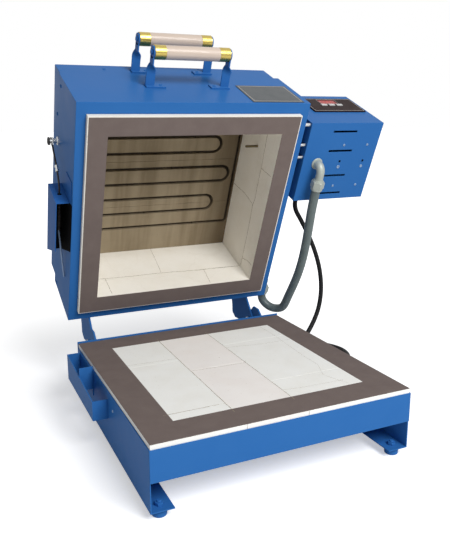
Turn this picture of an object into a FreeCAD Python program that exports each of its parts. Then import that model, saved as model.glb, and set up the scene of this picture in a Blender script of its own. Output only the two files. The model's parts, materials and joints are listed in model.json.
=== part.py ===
import FreeCAD
import Part

import math
import os
import re

import Sketcher
from FreeCAD import Placement, Rotation, Vector

# Clamshell glass fusing kiln, millimetres.
# Origin on the floor under the middle of the base. +X right, -Y front, +Z up.
# The base lies flat. The lid is drawn closed in its own frame and then swung open:
# lid frame X right, Y back from the hinge wall's outer face, Z up from the casing's rim.

doc = FreeCAD.newDocument("FusingKiln")

# Driving dimensions

sheet = doc.addObject("Spreadsheet::Sheet", "Sizes")

sizes = [
    ("chamberWidth", 394, "firing chamber, left to right"),
    ("chamberDepth", 398, "firing chamber, front to back"),
    ("wallThickness", 42, "bricks round the firing chamber"),
    ("casingSideRoom", 20.5, "lid casing beyond its bricks, each side"),
    ("casingEndRoom", 24.5, "lid casing beyond its bricks, front and back"),
    ("slabSideRoom", 15, "base slab beyond the lid's bricks, each side"),
    ("slabEndRoom", 10, "base slab beyond the lid's bricks, front and back"),
    ("brickThickness", 63.5, "a standard fire brick lying flat"),
    ("jointGap", 0.6, "dry joint between two bricks"),
    ("coatThickness", 0.8, "brown cement on the rims"),
    ("coatWidth", 61, "width of the brown cement on the base"),
    ("coatInset", 2.5, "brown cement in from the outer edges of the lid's bricks"),
    ("baseHeight", 136, "floor to the top of the base"),
    ("slabProud", 9, "bricks standing above the base casing"),
    ("sheetThickness", 1.5, "folded steel sheet"),
    ("skirtThickness", 2, "side skirts of the base"),
    ("skirtBottom", 15, "floor to the underside of the skirts"),
    ("skirtFlange", 40, "flange under each skirt"),
    ("bandReturn", 16, "flange under the front and rear bands"),
    ("rearRise", 4, "rear band standing above the bricks"),
    ("leftColumn", 169, "width of the left column of bricks"),
    ("middleColumn", 120, "width of the middle column of bricks"),
    ("leftFrontBrick", 86, "length of a cut brick"),
    ("leftMiddleBrick", 228, "length of a whole brick"),
    ("middleFrontBrick", 251, "length of a long brick"),
    ("rightFrontBrick", 139, "length of a cut brick"),
    ("rightMiddleBrick", 220, "length of a cut brick"),
    ("footRadius", 13, "levelling foot"),
    ("footHeight", 12, "levelling foot, without its stud"),
    ("footInset", 19, "foot centre in from the slab's sides"),
    ("studRadius", 4, "stud of a levelling foot"),
    ("nutHeight", 6, "nuts on studs and pins"),
    ("casingHeight", 161, "lid casing, rim to seam"),
    ("capHeight", 69, "roof cap, seam to top"),
    ("capInset", 4.5, "roof cap in from the casing's walls"),
    ("seamFlange", 16, "flange of the casing under the cap"),
    ("lidProud", 11.2, "rim bricks standing out of the casing"),
    ("upperCourse", 114.3, "height of the upper course of wall bricks"),
    ("roofThickness", 50.8, "roof bricks"),
    ("brickFit", 0.3, "play between bricks and sheet metal"),
    ("closeGap", 0.4, "between the two rims when shut"),
    ("grooveWidth", 8, "element groove in the roof"),
    ("grooveDepth", 12, "element groove in the roof"),
    ("elementRadius", 3.2, "outer radius of the wound element"),
    ("groovePitch", 40.5, "between two runs of the element"),
    ("grooveFirst", 71, "first run from the chamber's hinge wall"),
    ("grooveTurnSide", 55, "short turns in from the right wall"),
    ("grooveTurnFar", 22, "long turn in from the right wall"),
    ("grooveTurnLeft", 27, "left turns in from the left wall"),
    ("grooveReturn", 7, "return run in from the right wall"),
    ("grooveCorner", 8, "return run's corner"),
    ("probeRadius", 3, "thermocouple sheath"),
    ("probeReach", 32.5, "thermocouple out of the chamber's right wall"),
    ("probeHeight", 85.5, "thermocouple above the rim"),
    ("probeFromHinge", 391, "thermocouple from the hinge wall"),
    ("hingeBack", 47, "hinge axis behind the closed lid"),
    ("hingeDrop", 36, "hinge axis below the closed lid's rim"),
    ("openAngle", 67.4, "how far the lid stands open"),
    ("hingeSide", 211, "inner face of each hinge ear from the middle"),
    ("hingePlate", 4, "thickness of the hinge plates"),
    ("hingeClearance", 0.4, "between a hinge ear and its arm"),
    ("hingeLobe", 20, "radius of the hinge plates round the pin"),
    ("hingeFoot", 30, "foot flange of the hinge plates"),
    ("pinRadius", 5, "hinge pin"),
    ("pinPlay", 0.06, "running clearance round the hinge pin"),
    ("pinHead", 9, "radius of the hinge pin's head"),
    ("screwRadius", 4, "head of a casing screw"),
    ("screwHeight", 2.2, "head of a casing screw"),
    ("screwDrop", 21, "casing screws below the seam"),
    ("handleSpan", 172, "between the handle straps"),
    ("handleRise", 72, "grip axis above the front wall"),
    ("frontHandle", 90, "front handle above the rim"),
    ("rearHandle", 194, "rear handle above the rim"),
    ("strapThickness", 3.2, "handle strap"),
    ("strapWidth", 20, "handle strap"),
    ("strapBlade", 30, "straight lower part of a strap"),
    ("strapTwist", 18, "twisted part of a strap"),
    ("strapEye", 13, "radius of the strap's eye"),
    ("strapFoot", 24, "strap foot, inwards along the wall"),
    ("gripRadius", 14.5, "wooden grip"),
    ("ferruleLength", 24, "brass ferrule on the grip"),
    ("ferruleWall", 0.8, "brass ferrule"),
    ("ferruleProud", 0.2, "brass ferrule standing out of the grip"),
    ("rodHead", 3, "length of the rod's heads"),
    ("rodHeadRadius", 5.6, "radius of the rod's heads"),
    ("rodRadius", 4, "rod through the grip"),
    ("plateWidth", 126, "nameplate"),
    ("plateHeight", 98, "nameplate"),
    ("plateThickness", 1.2, "nameplate"),
    ("plateInset", 14.5, "nameplate in from the lid's right edge"),
    ("plateRise", 54, "nameplate's middle above the rim"),
    ("boxGap", 17, "between the lid and the control box"),
    ("boxWidth", 200, "control box, left to right"),
    ("boxLength", 200, "control box, along the lid's wall"),
    ("boxDepth", 171, "control box, rim side to back"),
    ("boxFromHinge", 284, "control box from the hinge wall"),
    ("slotLength", 66, "vent slot"),
    ("slotWidth", 5, "vent slot"),
    ("slotFromSide", 64, "vent slots from the box's inner side"),
    ("standoffRadius", 4, "spacers between the lid and the box"),
    ("relayHeight", 45, "relay on the box's back"),
    ("panelWidth", 146, "controller's front plate"),
    ("panelHeight", 80, "controller's front plate"),
    ("panelThickness", 3, "controller's front plate"),
    ("panelFromSide", 45, "controller plate from the box's inner side"),
    ("panelRise", 66, "controller plate above the rim"),
    ("panelLap", 8, "controller plate over the edge of its opening"),
    ("displayWidth", 48, "display window"),
    ("displayHeight", 24, "display window"),
    ("buttonWidth", 16, "controller button"),
    ("buttonHeight", 8, "controller button"),
    ("buttonPitch", 22, "between two buttons"),
    ("buttonProud", 1.6, "button standing out of its plate"),
    ("buttonPlay", 0.4, "gap round a button"),
    ("elbowSide", 39.5, "elbow from the box's inner side"),
    ("elbowFromHinge", 383, "elbow from the hinge wall"),
    ("lidElbowRise", 51, "lower elbow above the rim"),
    ("lidElbowFromHinge", 25, "lower elbow from the hinge wall"),
    ("elbowRadius", 10.5, "elbow connector"),
    ("elbowReach", 24, "elbow axis out of the box"),
    ("elbowNeck", 23, "elbow's bare neck before its nut"),
    ("lidElbowNeck", 13, "lower elbow's bare neck before its nut"),
    ("nutRadius", 16.5, "connector nut"),
    ("nutLength", 25, "connector nut"),
    ("conduitRadius", 11, "flexible conduit"),
    ("conduitGap", 0.6, "conduit's ends off their nuts"),
    ("collarLength", 6, "elbow flanges and the nuts' collars"),
    ("glandRadius", 15, "cord gland"),
    ("glandLength", 12, "cord gland, below the box"),
    ("glandNeck", 10.5, "cord gland's neck through the box"),
    ("glandInside", 4, "cord gland's neck inside the box"),
    ("glandRise", 80, "cord gland above the rim"),
    ("glandSide", 61.5, "cord gland from the box's inner side"),
    ("reliefLength", 30, "tapered strain relief"),
    ("cordRadius", 6, "power cord"),
    ("coilRadius", 60, "middle of the wound cord's turns"),
    ("plugTail", 30, "cord from the coil to the plug"),
    ("plugLength", 46, "plug body"),
    ("plugWidth", 36, "plug body"),
    ("plugHeight", 30, "plug body"),
    ("bladeLength", 18, "plug blades"),
    ("bladeThickness", 1.6, "flat plug blades"),
    ("pinBladeRadius", 2.4, "round plug blade"),
    ("guardReach", 30, "spring guard out of the lid's left wall"),
    ("guardTop", 304, "spring guard's upper end from the hinge wall"),
    ("guardBottom", 184, "spring guard's lower front corner"),
    ("guardTail", 133, "spring guard's lower rear corner"),
    ("guardFront", 18, "spring guard above the rim"),
    ("guardDepth", 89, "spring guard, rim side to back"),
    ("guardFlap", 50, "flap of the guard along the wall"),
    ("guardFlapLow", 7, "that flap below the guard's front"),
    ("springRadius", 8, "assist spring, outside"),
    ("springLength", 76, "assist spring's coils"),
    ("springInset", 14, "spring inside the guard's upper end"),
    ("anchorRadius", 5, "anchor stud on the lid's left wall"),
    ("anchorFromHinge", 385, "anchor stud from the hinge wall"),
    ("anchorRise", 148, "anchor stud above the rim"),
    ("anchorCap", 4.5, "thickness of the anchor stud's cap and collar"),
    ("anchorReach", 20, "anchor stud from the wall to its cap"),
    ("wireGap", 0.5, "spring wires' ends off what holds them"),
    ("hookRadius", 2, "hook wire and pull rod"),
    ("rodFootFromHinge", 95, "pull rod's foot from the hinge wall"),
    ("rodFootRise", 45, "pull rod's foot above the rim"),
    ("bracketReach", 30, "side bracket out of the base's skirt"),
    ("bracketFront", 4, "side bracket's front, ahead of the middle"),
    ("bracketBack", 221, "side bracket's back, behind the middle"),
    ("bracketLow", 70, "underside of the side bracket"),
    ("bracketHigh", 126, "top of the side bracket at the back"),
    ("bracketFall", 17, "side bracket's top falls this much forwards"),
    ("crossBack", 109, "cross plate behind the middle"),
    ("crossRise", 8, "cross plate above the bracket"),
    ("crossLow", 85, "underside of the cross plate"),
]

for row, (name, value, note) in enumerate(sizes, 1):
    sheet.set(f"A{row}", name)
    sheet.set(f"B{row}", str(value))
    sheet.set(f"C{row}", note)
    sheet.setAlias(f"B{row}", name)
doc.recompute()

# Places worked out from the sizes

places = doc.addObject("App::VarSet", "Places")

placeFormulas = [
    ("lidBrickWidth", "chamberWidth + 2 * wallThickness"),
    ("lidBrickDepth", "chamberDepth + 2 * wallThickness"),
    ("lidWidth", "lidBrickWidth + 2 * casingSideRoom"),
    ("lidDepth", "lidBrickDepth + 2 * casingEndRoom"),
    ("slabWidth", "lidBrickWidth + 2 * slabSideRoom"),
    ("slabDepth", "lidBrickDepth + 2 * slabEndRoom"),
    ("slabSide", "slabWidth / 2"),
    ("slabEnd", "slabDepth / 2"),
    ("rebateLevel", "baseHeight - coatThickness"),
    ("slabBottom", "baseHeight - brickThickness"),
    ("trayBottom", "slabBottom - sheetThickness"),
    ("bandBottom", "trayBottom - sheetThickness"),
    ("casingTop", "baseHeight - slabProud"),
    ("skirtOuter", "slabSide + skirtThickness"),
    ("bandOuter", "slabEnd + skirtThickness"),
    ("columnLeft", "leftColumn - slabSide"),
    ("columnRight", "columnLeft + middleColumn"),
    ("halfJoint", "jointGap / 2"),
    ("footSide", "slabSide - footInset"),
    ("footEnd", "slabEnd - footInset"),
    ("lidSide", "lidWidth / 2"),
    ("lidInner", "lidSide - sheetThickness"),
    ("brickSide", "lidBrickWidth / 2"),
    ("brickBack", "(lidBrickDepth - lidDepth) / 2"),
    ("brickFront", "brickBack - lidBrickDepth"),
    ("chamberSide", "chamberWidth / 2"),
    ("chamberBack", "(chamberDepth - lidDepth) / 2"),
    ("chamberFront", "chamberBack - chamberDepth"),
    ("rimFace", "-lidProud"),
    ("rimBrick", "rimFace + coatThickness"),
    ("courseTop", "rimFace + brickThickness"),
    ("ceiling", "courseTop + upperCourse"),
    ("roofTop", "ceiling + roofThickness"),
    ("capTop", "casingHeight + capHeight"),
    ("capUnder", "capTop - sheetThickness"),
    ("capSide", "lidSide - capInset"),
    ("casingWall", "-lidDepth"),
    ("capWall", "casingWall + capInset"),
    ("grooveBack", "chamberBack - grooveFirst"),
    ("pinY", "lidDepth / 2 + hingeBack"),
    ("pinZ", "baseHeight + closeGap + lidProud - hingeDrop"),
    ("armInner", "hingeSide - hingeClearance - hingePlate"),
    ("boxLeft", "lidSide + boxGap"),
    ("boxRight", "boxLeft + boxWidth"),
    ("boxBack", "-boxFromHinge"),
    ("boxFront", "boxBack - boxLength"),
    ("panelLeft", "boxLeft + panelFromSide"),
    ("panelFace", "boxFront - panelThickness"),
    ("buttonRow", "panelRise + panelHeight * 0.48"),
    ("displayLow", "panelRise + panelHeight * 0.59"),
    ("displayLeft", "panelLeft + panelWidth * 0.31"),
    ("plateSide", "lidSide - plateInset - plateWidth / 2"),
    ("elbowX", "boxLeft + elbowSide"),
    ("nutStart", "-elbowFromHinge + elbowRadius + elbowNeck"),
    ("nutEnd", "nutStart + nutLength"),
    ("lidNutStart", "-lidElbowFromHinge + elbowRadius + lidElbowNeck"),
    ("lidNutEnd", "lidNutStart + nutLength"),
    ("lidElbowX", "lidSide + elbowReach"),
    ("glandX", "boxLeft + glandSide"),
    ("guardSide", "-lidSide - guardReach"),
    ("springX", "-lidSide - guardReach / 2"),
    ("springRise", "guardFront + guardDepth * 0.45"),
    ("springTop", "guardTop - springInset"),
    ("bracketSide", "-skirtOuter - bracketReach"),
]

sizeNames = {name for name, value, note in sizes}
placeNames = {name for name, formula in placeFormulas}


def qualified(text):
    """Plain names in a formula become names of the sheet or of the places."""

    def full(match):
        word = match.group(0)
        if word in sizeNames:
            return "Sizes." + word
        if word in placeNames:
            return "Places." + word
        return word

    return re.sub(r"[A-Za-z_]\w*", full, str(text))


for name, formula in placeFormulas:
    places.addProperty("App::PropertyFloat", name)
    places.setExpression(name, qualified(formula))
doc.recompute()


def at(name):
    """The value of one size or place."""
    if name in placeNames:
        return getattr(places, name)
    return float(sheet.get(name))


# The open lid's placement: the closed lid turned back about the hinge axis

hingeAxis = Vector(0, at("pinY"), at("pinZ"))
closedCorner = Vector(0, at("lidDepth") / 2, at("pinZ") + at("hingeDrop"))
swing = Rotation(Vector(1, 0, 0), -at("openAngle"))
openLid = Placement(hingeAxis + swing.multVec(closedCorner - hingeAxis), swing)
flatBase = Placement()

# Modelling helpers

planeRoles = {"X": "YZ_Plane", "Y": "XZ_Plane", "Z": "XY_Plane"}
nodes = []


def newBody(label, frame):
    body = doc.addObject("PartDesign::Body", label)
    body.Label = label
    body.AllowCompound = True
    body.Placement = frame
    nodes.append(body)
    return body


def sketchAcross(body, axis, level):
    """A sketch across one axis of the body, at that level along it."""
    sketch = body.newObject("Sketcher::SketchObject", body.Name + "Sketch")
    for plane in body.Origin.OriginFeatures:
        if plane.Role == planeRoles[axis]:
            sketch.AttachmentSupport = [(plane, "")]
    sketch.MapMode = "FlatFace"
    sign = "-" if axis == "Y" else ""
    sketch.setExpression("AttachmentOffset.Base.z", qualified(f"{sign}({level})"))
    return sketch


def bind(sketch, kind, geometry, point, formula, value):
    index = sketch.addConstraint(Sketcher.Constraint(kind, -1, 1, geometry, point, value))
    sketch.setExpression(f"Constraints[{index}]", qualified(formula))


def addOutline(sketch, points):
    """A closed outline whose corners are formulas."""
    first = sketch.GeometryCount
    count = len(points)
    rough = [Vector(math.cos(math.tau * i / count), math.sin(math.tau * i / count), 0) for i in range(count)]
    for i in range(count):
        sketch.addGeometry(Part.LineSegment(rough[i], rough[(i + 1) % count]), False)
    for i in range(count):
        following = first + (i + 1) % count
        sketch.addConstraint(Sketcher.Constraint("Coincident", first + i, 2, following, 1))
    for i, (across, up) in enumerate(points):
        bind(sketch, "DistanceX", first + i, 1, across, rough[i].x)
        bind(sketch, "DistanceY", first + i, 1, up, rough[i].y)


def addCircle(sketch, centre, radius):
    index = sketch.addGeometry(Part.Circle(Vector(1, 1, 0), Vector(0, 0, 1), 1), False)
    bind(sketch, "DistanceX", index, 3, centre[0], 1)
    bind(sketch, "DistanceY", index, 3, centre[1], 1)
    ring = sketch.addConstraint(Sketcher.Constraint("Radius", index, 1))
    sketch.setExpression(f"Constraints[{ring}]", qualified(radius))


def extrude(body, axis, low, high, draw):
    """Adds what draw puts in the sketch, from low to high along the axis."""
    sketch = sketchAcross(body, axis, high if axis == "Y" else low)
    draw(sketch)
    pad = body.newObject("PartDesign::Pad", body.Name + "Pad")
    pad.Profile = sketch
    pad.setExpression("Length", qualified(f"({high}) - ({low})"))
    return pad


def carve(body, axis, low, high, draw):
    """Cuts what draw puts in the sketch, from high down to low along the axis."""
    sketch = sketchAcross(body, axis, low if axis == "Y" else high)
    draw(sketch)
    pocket = body.newObject("PartDesign::Pocket", body.Name + "Pocket")
    pocket.Profile = sketch
    pocket.setExpression("Length", qualified(f"({high}) - ({low})"))
    return pocket


def rectangle(left, right, low, high):
    corners = [(left, low), (right, low), (right, high), (left, high)]
    return lambda sketch: addOutline(sketch, corners)


def polygon(points):
    return lambda sketch: addOutline(sketch, points)


def circles(centres, radius):
    def draw(sketch):
        for centre in centres:
            addCircle(sketch, centre, radius)

    return draw


def several(*drawings):
    def draw(sketch):
        for drawing in drawings:
            drawing(sketch)

    return draw


def addBlock(body, x, y, z):
    return extrude(body, "Z", z[0], z[1], rectangle(x[0], x[1], y[0], y[1]))


def cutBlock(body, x, y, z):
    return carve(body, "Z", z[0], z[1], rectangle(x[0], x[1], y[0], y[1]))


def turn(body, axis, centre, points):
    """Revolves an outline of (along, radius) round an X or Z line through the centre."""
    sketch = body.newObject("Sketcher::SketchObject", body.Name + "Profile")
    role = "XZ_Plane" if axis == "Z" else "XY_Plane"
    for plane in body.Origin.OriginFeatures:
        if plane.Role == role:
            sketch.AttachmentSupport = [(plane, "")]
    sketch.MapMode = "FlatFace"
    if axis == "Z":
        sketch.setExpression("AttachmentOffset.Base.x", qualified(centre[0]))
        sketch.setExpression("AttachmentOffset.Base.z", qualified(f"-({centre[1]})"))
        addOutline(sketch, [(radius, along) for along, radius in points])
        line = "V_Axis"
    else:
        sketch.setExpression("AttachmentOffset.Base.y", qualified(centre[0]))
        sketch.setExpression("AttachmentOffset.Base.z", qualified(centre[1]))
        addOutline(sketch, points)
        line = "H_Axis"
    revolution = body.newObject("PartDesign::Revolution", body.Name + "Turn")
    revolution.Profile = sketch
    revolution.ReferenceAxis = (sketch, [line])
    revolution.Angle = 360
    return revolution


def addShape(label, frame, shape):
    piece = doc.addObject("Part::Feature", label)
    piece.Label = label
    piece.Shape = shape
    piece.Placement = frame
    nodes.append(piece)
    return piece


# Base


def makeBaseCasing():
    for side, sign in (("left", -1), ("right", 1)):
        skirt = newBody(f"side_skirt_{side}", flatBase)
        if sign > 0:
            wall = ["slabSide", "skirtOuter"]
            inner = ["slabSide - skirtFlange", "slabSide"]
        else:
            wall = ["-skirtOuter", "-slabSide"]
            inner = ["-slabSide", "skirtFlange - slabSide"]
        addBlock(skirt, wall, ("-slabEnd", "slabEnd"), ("skirtBottom", "casingTop"))
        addBlock(skirt, inner, ("-slabEnd", "slabEnd"), ("skirtBottom", "skirtBottom + skirtThickness"))
        feet = [(f"{sign} * footSide", f"{end} * footEnd") for end in (-1, 1)]
        studs = circles(feet, "studRadius + pinPlay")
        carve(skirt, "Z", "skirtBottom", "skirtBottom + skirtThickness", studs)

    front = newBody("front_band", flatBase)
    across = ("-skirtOuter", "skirtOuter")
    addBlock(front, across, ("-bandOuter", "-slabEnd"), ("bandBottom", "casingTop"))
    inside = ("-slabSide", "slabSide")
    addBlock(front, inside, ("-slabEnd", "bandReturn - slabEnd"), ("bandBottom", "trayBottom"))

    rear = newBody("rear_band", flatBase)
    addBlock(rear, across, ("slabEnd", "bandOuter"), ("bandBottom", "baseHeight + rearRise"))
    addBlock(rear, inside, ("slabEnd - bandReturn", "slabEnd"), ("bandBottom", "trayBottom"))

    tray = newBody("floor_tray", flatBase)
    addBlock(tray, inside, ("-slabEnd", "slabEnd"), ("trayBottom", "slabBottom"))


def makeBaseBricks():
    columns = [
        ("left", "-slabSide", "columnLeft - halfJoint", ["leftFrontBrick", "leftMiddleBrick"]),
        ("middle", "columnLeft + halfJoint", "columnRight - halfJoint", ["middleFrontBrick"]),
        ("right", "columnRight + halfJoint", "slabSide", ["rightFrontBrick", "rightMiddleBrick"]),
    ]
    coatDepth = ("rebateLevel", "baseHeight")
    whole = ("-slabSide", "slabSide")
    between = ("coatWidth - slabEnd", "slabEnd - coatWidth")
    strips = [(whole, ("-slabEnd", between[0])), (whole, (between[1], "slabEnd"))]
    rebates = {
        "left": strips + [(("-slabSide", "coatWidth - slabSide"), between)],
        "middle": strips,
        "right": strips + [(("slabSide - coatWidth", "slabSide"), between)],
    }
    for side, low, high, lengths in columns:
        bricks = newBody(f"base_bricks_{side}", flatBase)
        joint = "-slabEnd"
        pieces = []
        start = joint
        for length in lengths:
            joint = f"{joint} + {length}"
            pieces.append(rectangle(low, high, start, f"{joint} - halfJoint"))
            start = f"{joint} + halfJoint"
        pieces.append(rectangle(low, high, start, "slabEnd"))
        extrude(bricks, "Z", "slabBottom", "baseHeight", several(*pieces))
        for end in rebates[side]:
            cutBlock(bricks, end[0], end[1], coatDepth)

    coat = newBody("base_rim_coating", flatBase)
    addBlock(coat, whole, ("-slabEnd", "slabEnd"), coatDepth)
    cutBlock(coat, ("coatWidth - slabSide", "slabSide - coatWidth"), between, coatDepth)


def makeFeet():
    feet = newBody("levelling_feet", flatBase)
    centres = [(f"{side} * footSide", f"{end} * footEnd") for side in (-1, 1) for end in (-1, 1)]
    extrude(feet, "Z", "0", "footHeight", circles(centres, "footRadius"))
    extrude(feet, "Z", "footHeight", "skirtBottom", circles(centres, "footRadius * 0.6"))
    top = "skirtBottom + skirtThickness"
    extrude(feet, "Z", "skirtBottom", top, circles(centres, "studRadius"))
    extrude(feet, "Z", top, f"{top} + nutHeight", circles(centres, "footRadius * 0.6"))


def makeSideBracket():
    bracket = newBody("side_bracket", flatBase)
    inner = "-skirtOuter"
    front, back = "-bracketFront", "bracketBack"
    lowFront = "bracketHigh - bracketFall"
    wall = [(front, "bracketLow"), (back, "bracketLow"), (back, "bracketHigh"), (front, lowFront)]
    outer = "bracketSide + skirtThickness"
    extrude(bracket, "X", "bracketSide", outer, polygon(wall))
    end = (front, f"{front} + skirtThickness")
    addBlock(bracket, (outer, inner), end, ("bracketLow", lowFront))
    end = (f"{back} - skirtThickness", back)
    addBlock(bracket, (outer, inner), end, ("bracketLow", "bracketHigh"))
    cross = ("crossBack", "crossBack + skirtThickness")
    addBlock(bracket, (outer, inner), cross, ("crossLow", "bracketHigh + crossRise"))
    strip = (inner + " - skirtThickness", inner)
    addBlock(bracket, strip, (cross[1], f"{back} - skirtThickness"), ("bracketLow", "bracketHigh"))


# Lid casing and bricks


def makeLidCasing():
    casing = newBody("lid_casing", openLid)
    addBlock(casing, ("-lidSide", "lidSide"), ("-lidDepth", "0"), ("0", "casingHeight"))
    cutBlock(
        casing,
        ("-lidInner", "lidInner"),
        ("sheetThickness - lidDepth", "-sheetThickness"),
        ("sheetThickness", "casingHeight - sheetThickness"),
    )
    cutBlock(
        casing,
        ("-brickSide - brickFit", "brickSide + brickFit"),
        ("brickFront - brickFit", "brickBack + brickFit"),
        ("0", "sheetThickness"),
    )
    cutBlock(
        casing,
        ("seamFlange - lidSide", "lidSide - seamFlange"),
        ("seamFlange - lidDepth", "-seamFlange"),
        ("casingHeight - sheetThickness", "casingHeight"),
    )

    cap = newBody("roof_cap", openLid)
    addBlock(cap, ("-capSide", "capSide"), ("capInset - lidDepth", "-capInset"), ("casingHeight", "capTop"))
    cutBlock(
        cap,
        ("sheetThickness - capSide", "capSide - sheetThickness"),
        ("capInset - lidDepth + sheetThickness", "-capInset - sheetThickness"),
        ("casingHeight", "capUnder"),
    )

    blanket = newBody("roof_blanket", openLid)
    addBlock(blanket, ("-brickSide", "brickSide"), ("brickFront", "brickBack"), ("roofTop", "capUnder"))


def makeLidBricks():
    """Two courses: the end walls run through below, the side walls run through above."""
    rim = ("rimBrick", "courseTop - halfJoint")
    upper = ("courseTop + halfJoint", "ceiling")
    full = ("-brickSide", "brickSide")
    between = ("jointGap - chamberSide", "chamberSide - jointGap")
    ends = {"front": ("brickFront", "chamberFront"), "hinge": ("chamberBack", "brickBack")}
    for name, span in ends.items():
        bricks = newBody(f"{name}_wall_bricks", openLid)
        addBlock(bricks, full, span, rim)
        addBlock(bricks, between, span, upper)
    probeSpot = [("-probeFromHinge", "probeHeight")]
    sides = {"left": ("-brickSide", "-chamberSide"), "right": ("chamberSide", "brickSide")}
    for name, span in sides.items():
        bricks = newBody(f"{name}_wall_bricks", openLid)
        addBlock(bricks, span, ("chamberFront + jointGap", "chamberBack - jointGap"), rim)
        addBlock(bricks, span, ("brickFront", "brickBack"), upper)
        if name == "right":
            carve(bricks, "X", span[0], span[1], circles(probeSpot, "probeRadius + brickFit"))

    coat = newBody("lid_rim_coating", openLid)
    across = ("coatInset - brickSide", "brickSide - coatInset")
    addBlock(coat, across, ("brickFront + coatInset", "brickBack - coatInset"), ("rimFace", "rimBrick"))
    cutBlock(coat, ("-chamberSide", "chamberSide"), ("chamberFront", "chamberBack"), ("rimFace", "rimBrick"))

    probe = newBody("thermocouple", openLid)
    extrude(probe, "X", "chamberSide - probeReach", "brickSide", circles(probeSpot, "probeRadius"))


# Heating element, one wound wire lying in a serpentine groove of the roof


def elementRoute():
    """Centre line in the lid frame: runs along X joined by half turns, and a return run."""
    pitch = at("groovePitch")
    first = at("grooveBack")
    left = at("grooveTurnLeft") - at("chamberSide")
    short = at("chamberSide") - at("grooveTurnSide")
    far = at("chamberSide") - at("grooveTurnFar")
    back = at("chamberSide") - at("grooveReturn")
    depth = at("ceiling") + at("grooveDepth") / 2
    rows = [first - pitch * i for i in range(7)]
    bend = pitch / 2
    corner = at("grooveCorner")
    # Row 0 starts at the return run, turns alternate left and right, row 6 ends at the left
    ends = [left + bend, short - bend, left + bend, far - bend, left + bend, short - bend]
    edges = []

    def point(x, y):
        return Vector(x, y, depth)

    top = rows[6] - corner
    here = point(back, top)
    edges.append(Part.LineSegment(here, point(back, rows[0] - corner)).toShape())
    middle = point(back - corner * (1 - math.sqrt(0.5)), rows[0] - corner * (1 - math.sqrt(0.5)))
    edges.append(Part.Arc(point(back, rows[0] - corner), middle, point(back - corner, rows[0])).toShape())
    here = point(back - corner, rows[0])
    for i, x in enumerate(ends):
        edges.append(Part.LineSegment(here, point(x, rows[i])).toShape())
        side = -1 if i % 2 == 0 else 1
        apex = point(x + side * bend, rows[i] - bend)
        here = point(x, rows[i + 1])
        edges.append(Part.Arc(point(x, rows[i]), apex, here).toShape())
    edges.append(Part.LineSegment(here, point(left + bend, rows[6])).toShape())
    return Part.Wire(edges)


def sweepAlong(wire, profile):
    solid = wire.makePipeShell([profile], True, False)
    if solid.Volume < 0:
        solid = solid.reversed()
    return solid


def circleAcross(wire, radius):
    edge = wire.Edges[0]
    start = edge.valueAt(edge.FirstParameter)
    along = edge.tangentAt(edge.FirstParameter)
    return Part.Wire([Part.makeCircle(radius, start, along)])


def makeRoof():
    route = elementRoute()
    start = route.Edges[0].valueAt(route.Edges[0].FirstParameter)
    half = at("grooveWidth") / 2
    low = at("ceiling") - 1
    high = at("ceiling") + at("grooveDepth")
    corners = [(-half, low), (half, low), (half, high), (-half, high)]
    loop = [Vector(start.x + across, start.y, z) for across, z in corners]
    groove = sweepAlong(route, Part.makePolygon(loop + loop[:1]))

    width = at("lidBrickWidth")
    inner = [at("grooveBack") - runs * at("groovePitch") for runs in (4.5, 1.5)]
    joints = [at("brickFront")] + inner + [at("brickBack")]
    gap = at("jointGap") / 2
    for i, name in enumerate(("front", "middle", "hinge")):
        low = joints[i] + (gap if i > 0 else 0)
        high = joints[i + 1] - (gap if i < 2 else 0)
        brick = Part.makeBox(width, high - low, at("roofThickness"), Vector(-width / 2, low, at("ceiling")))
        addShape(f"roof_bricks_{name}", openLid, brick.cut(groove))

    element = sweepAlong(route, circleAcross(route, at("elementRadius")))
    addShape("heating_element", openLid, element)


# Hinge


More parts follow.
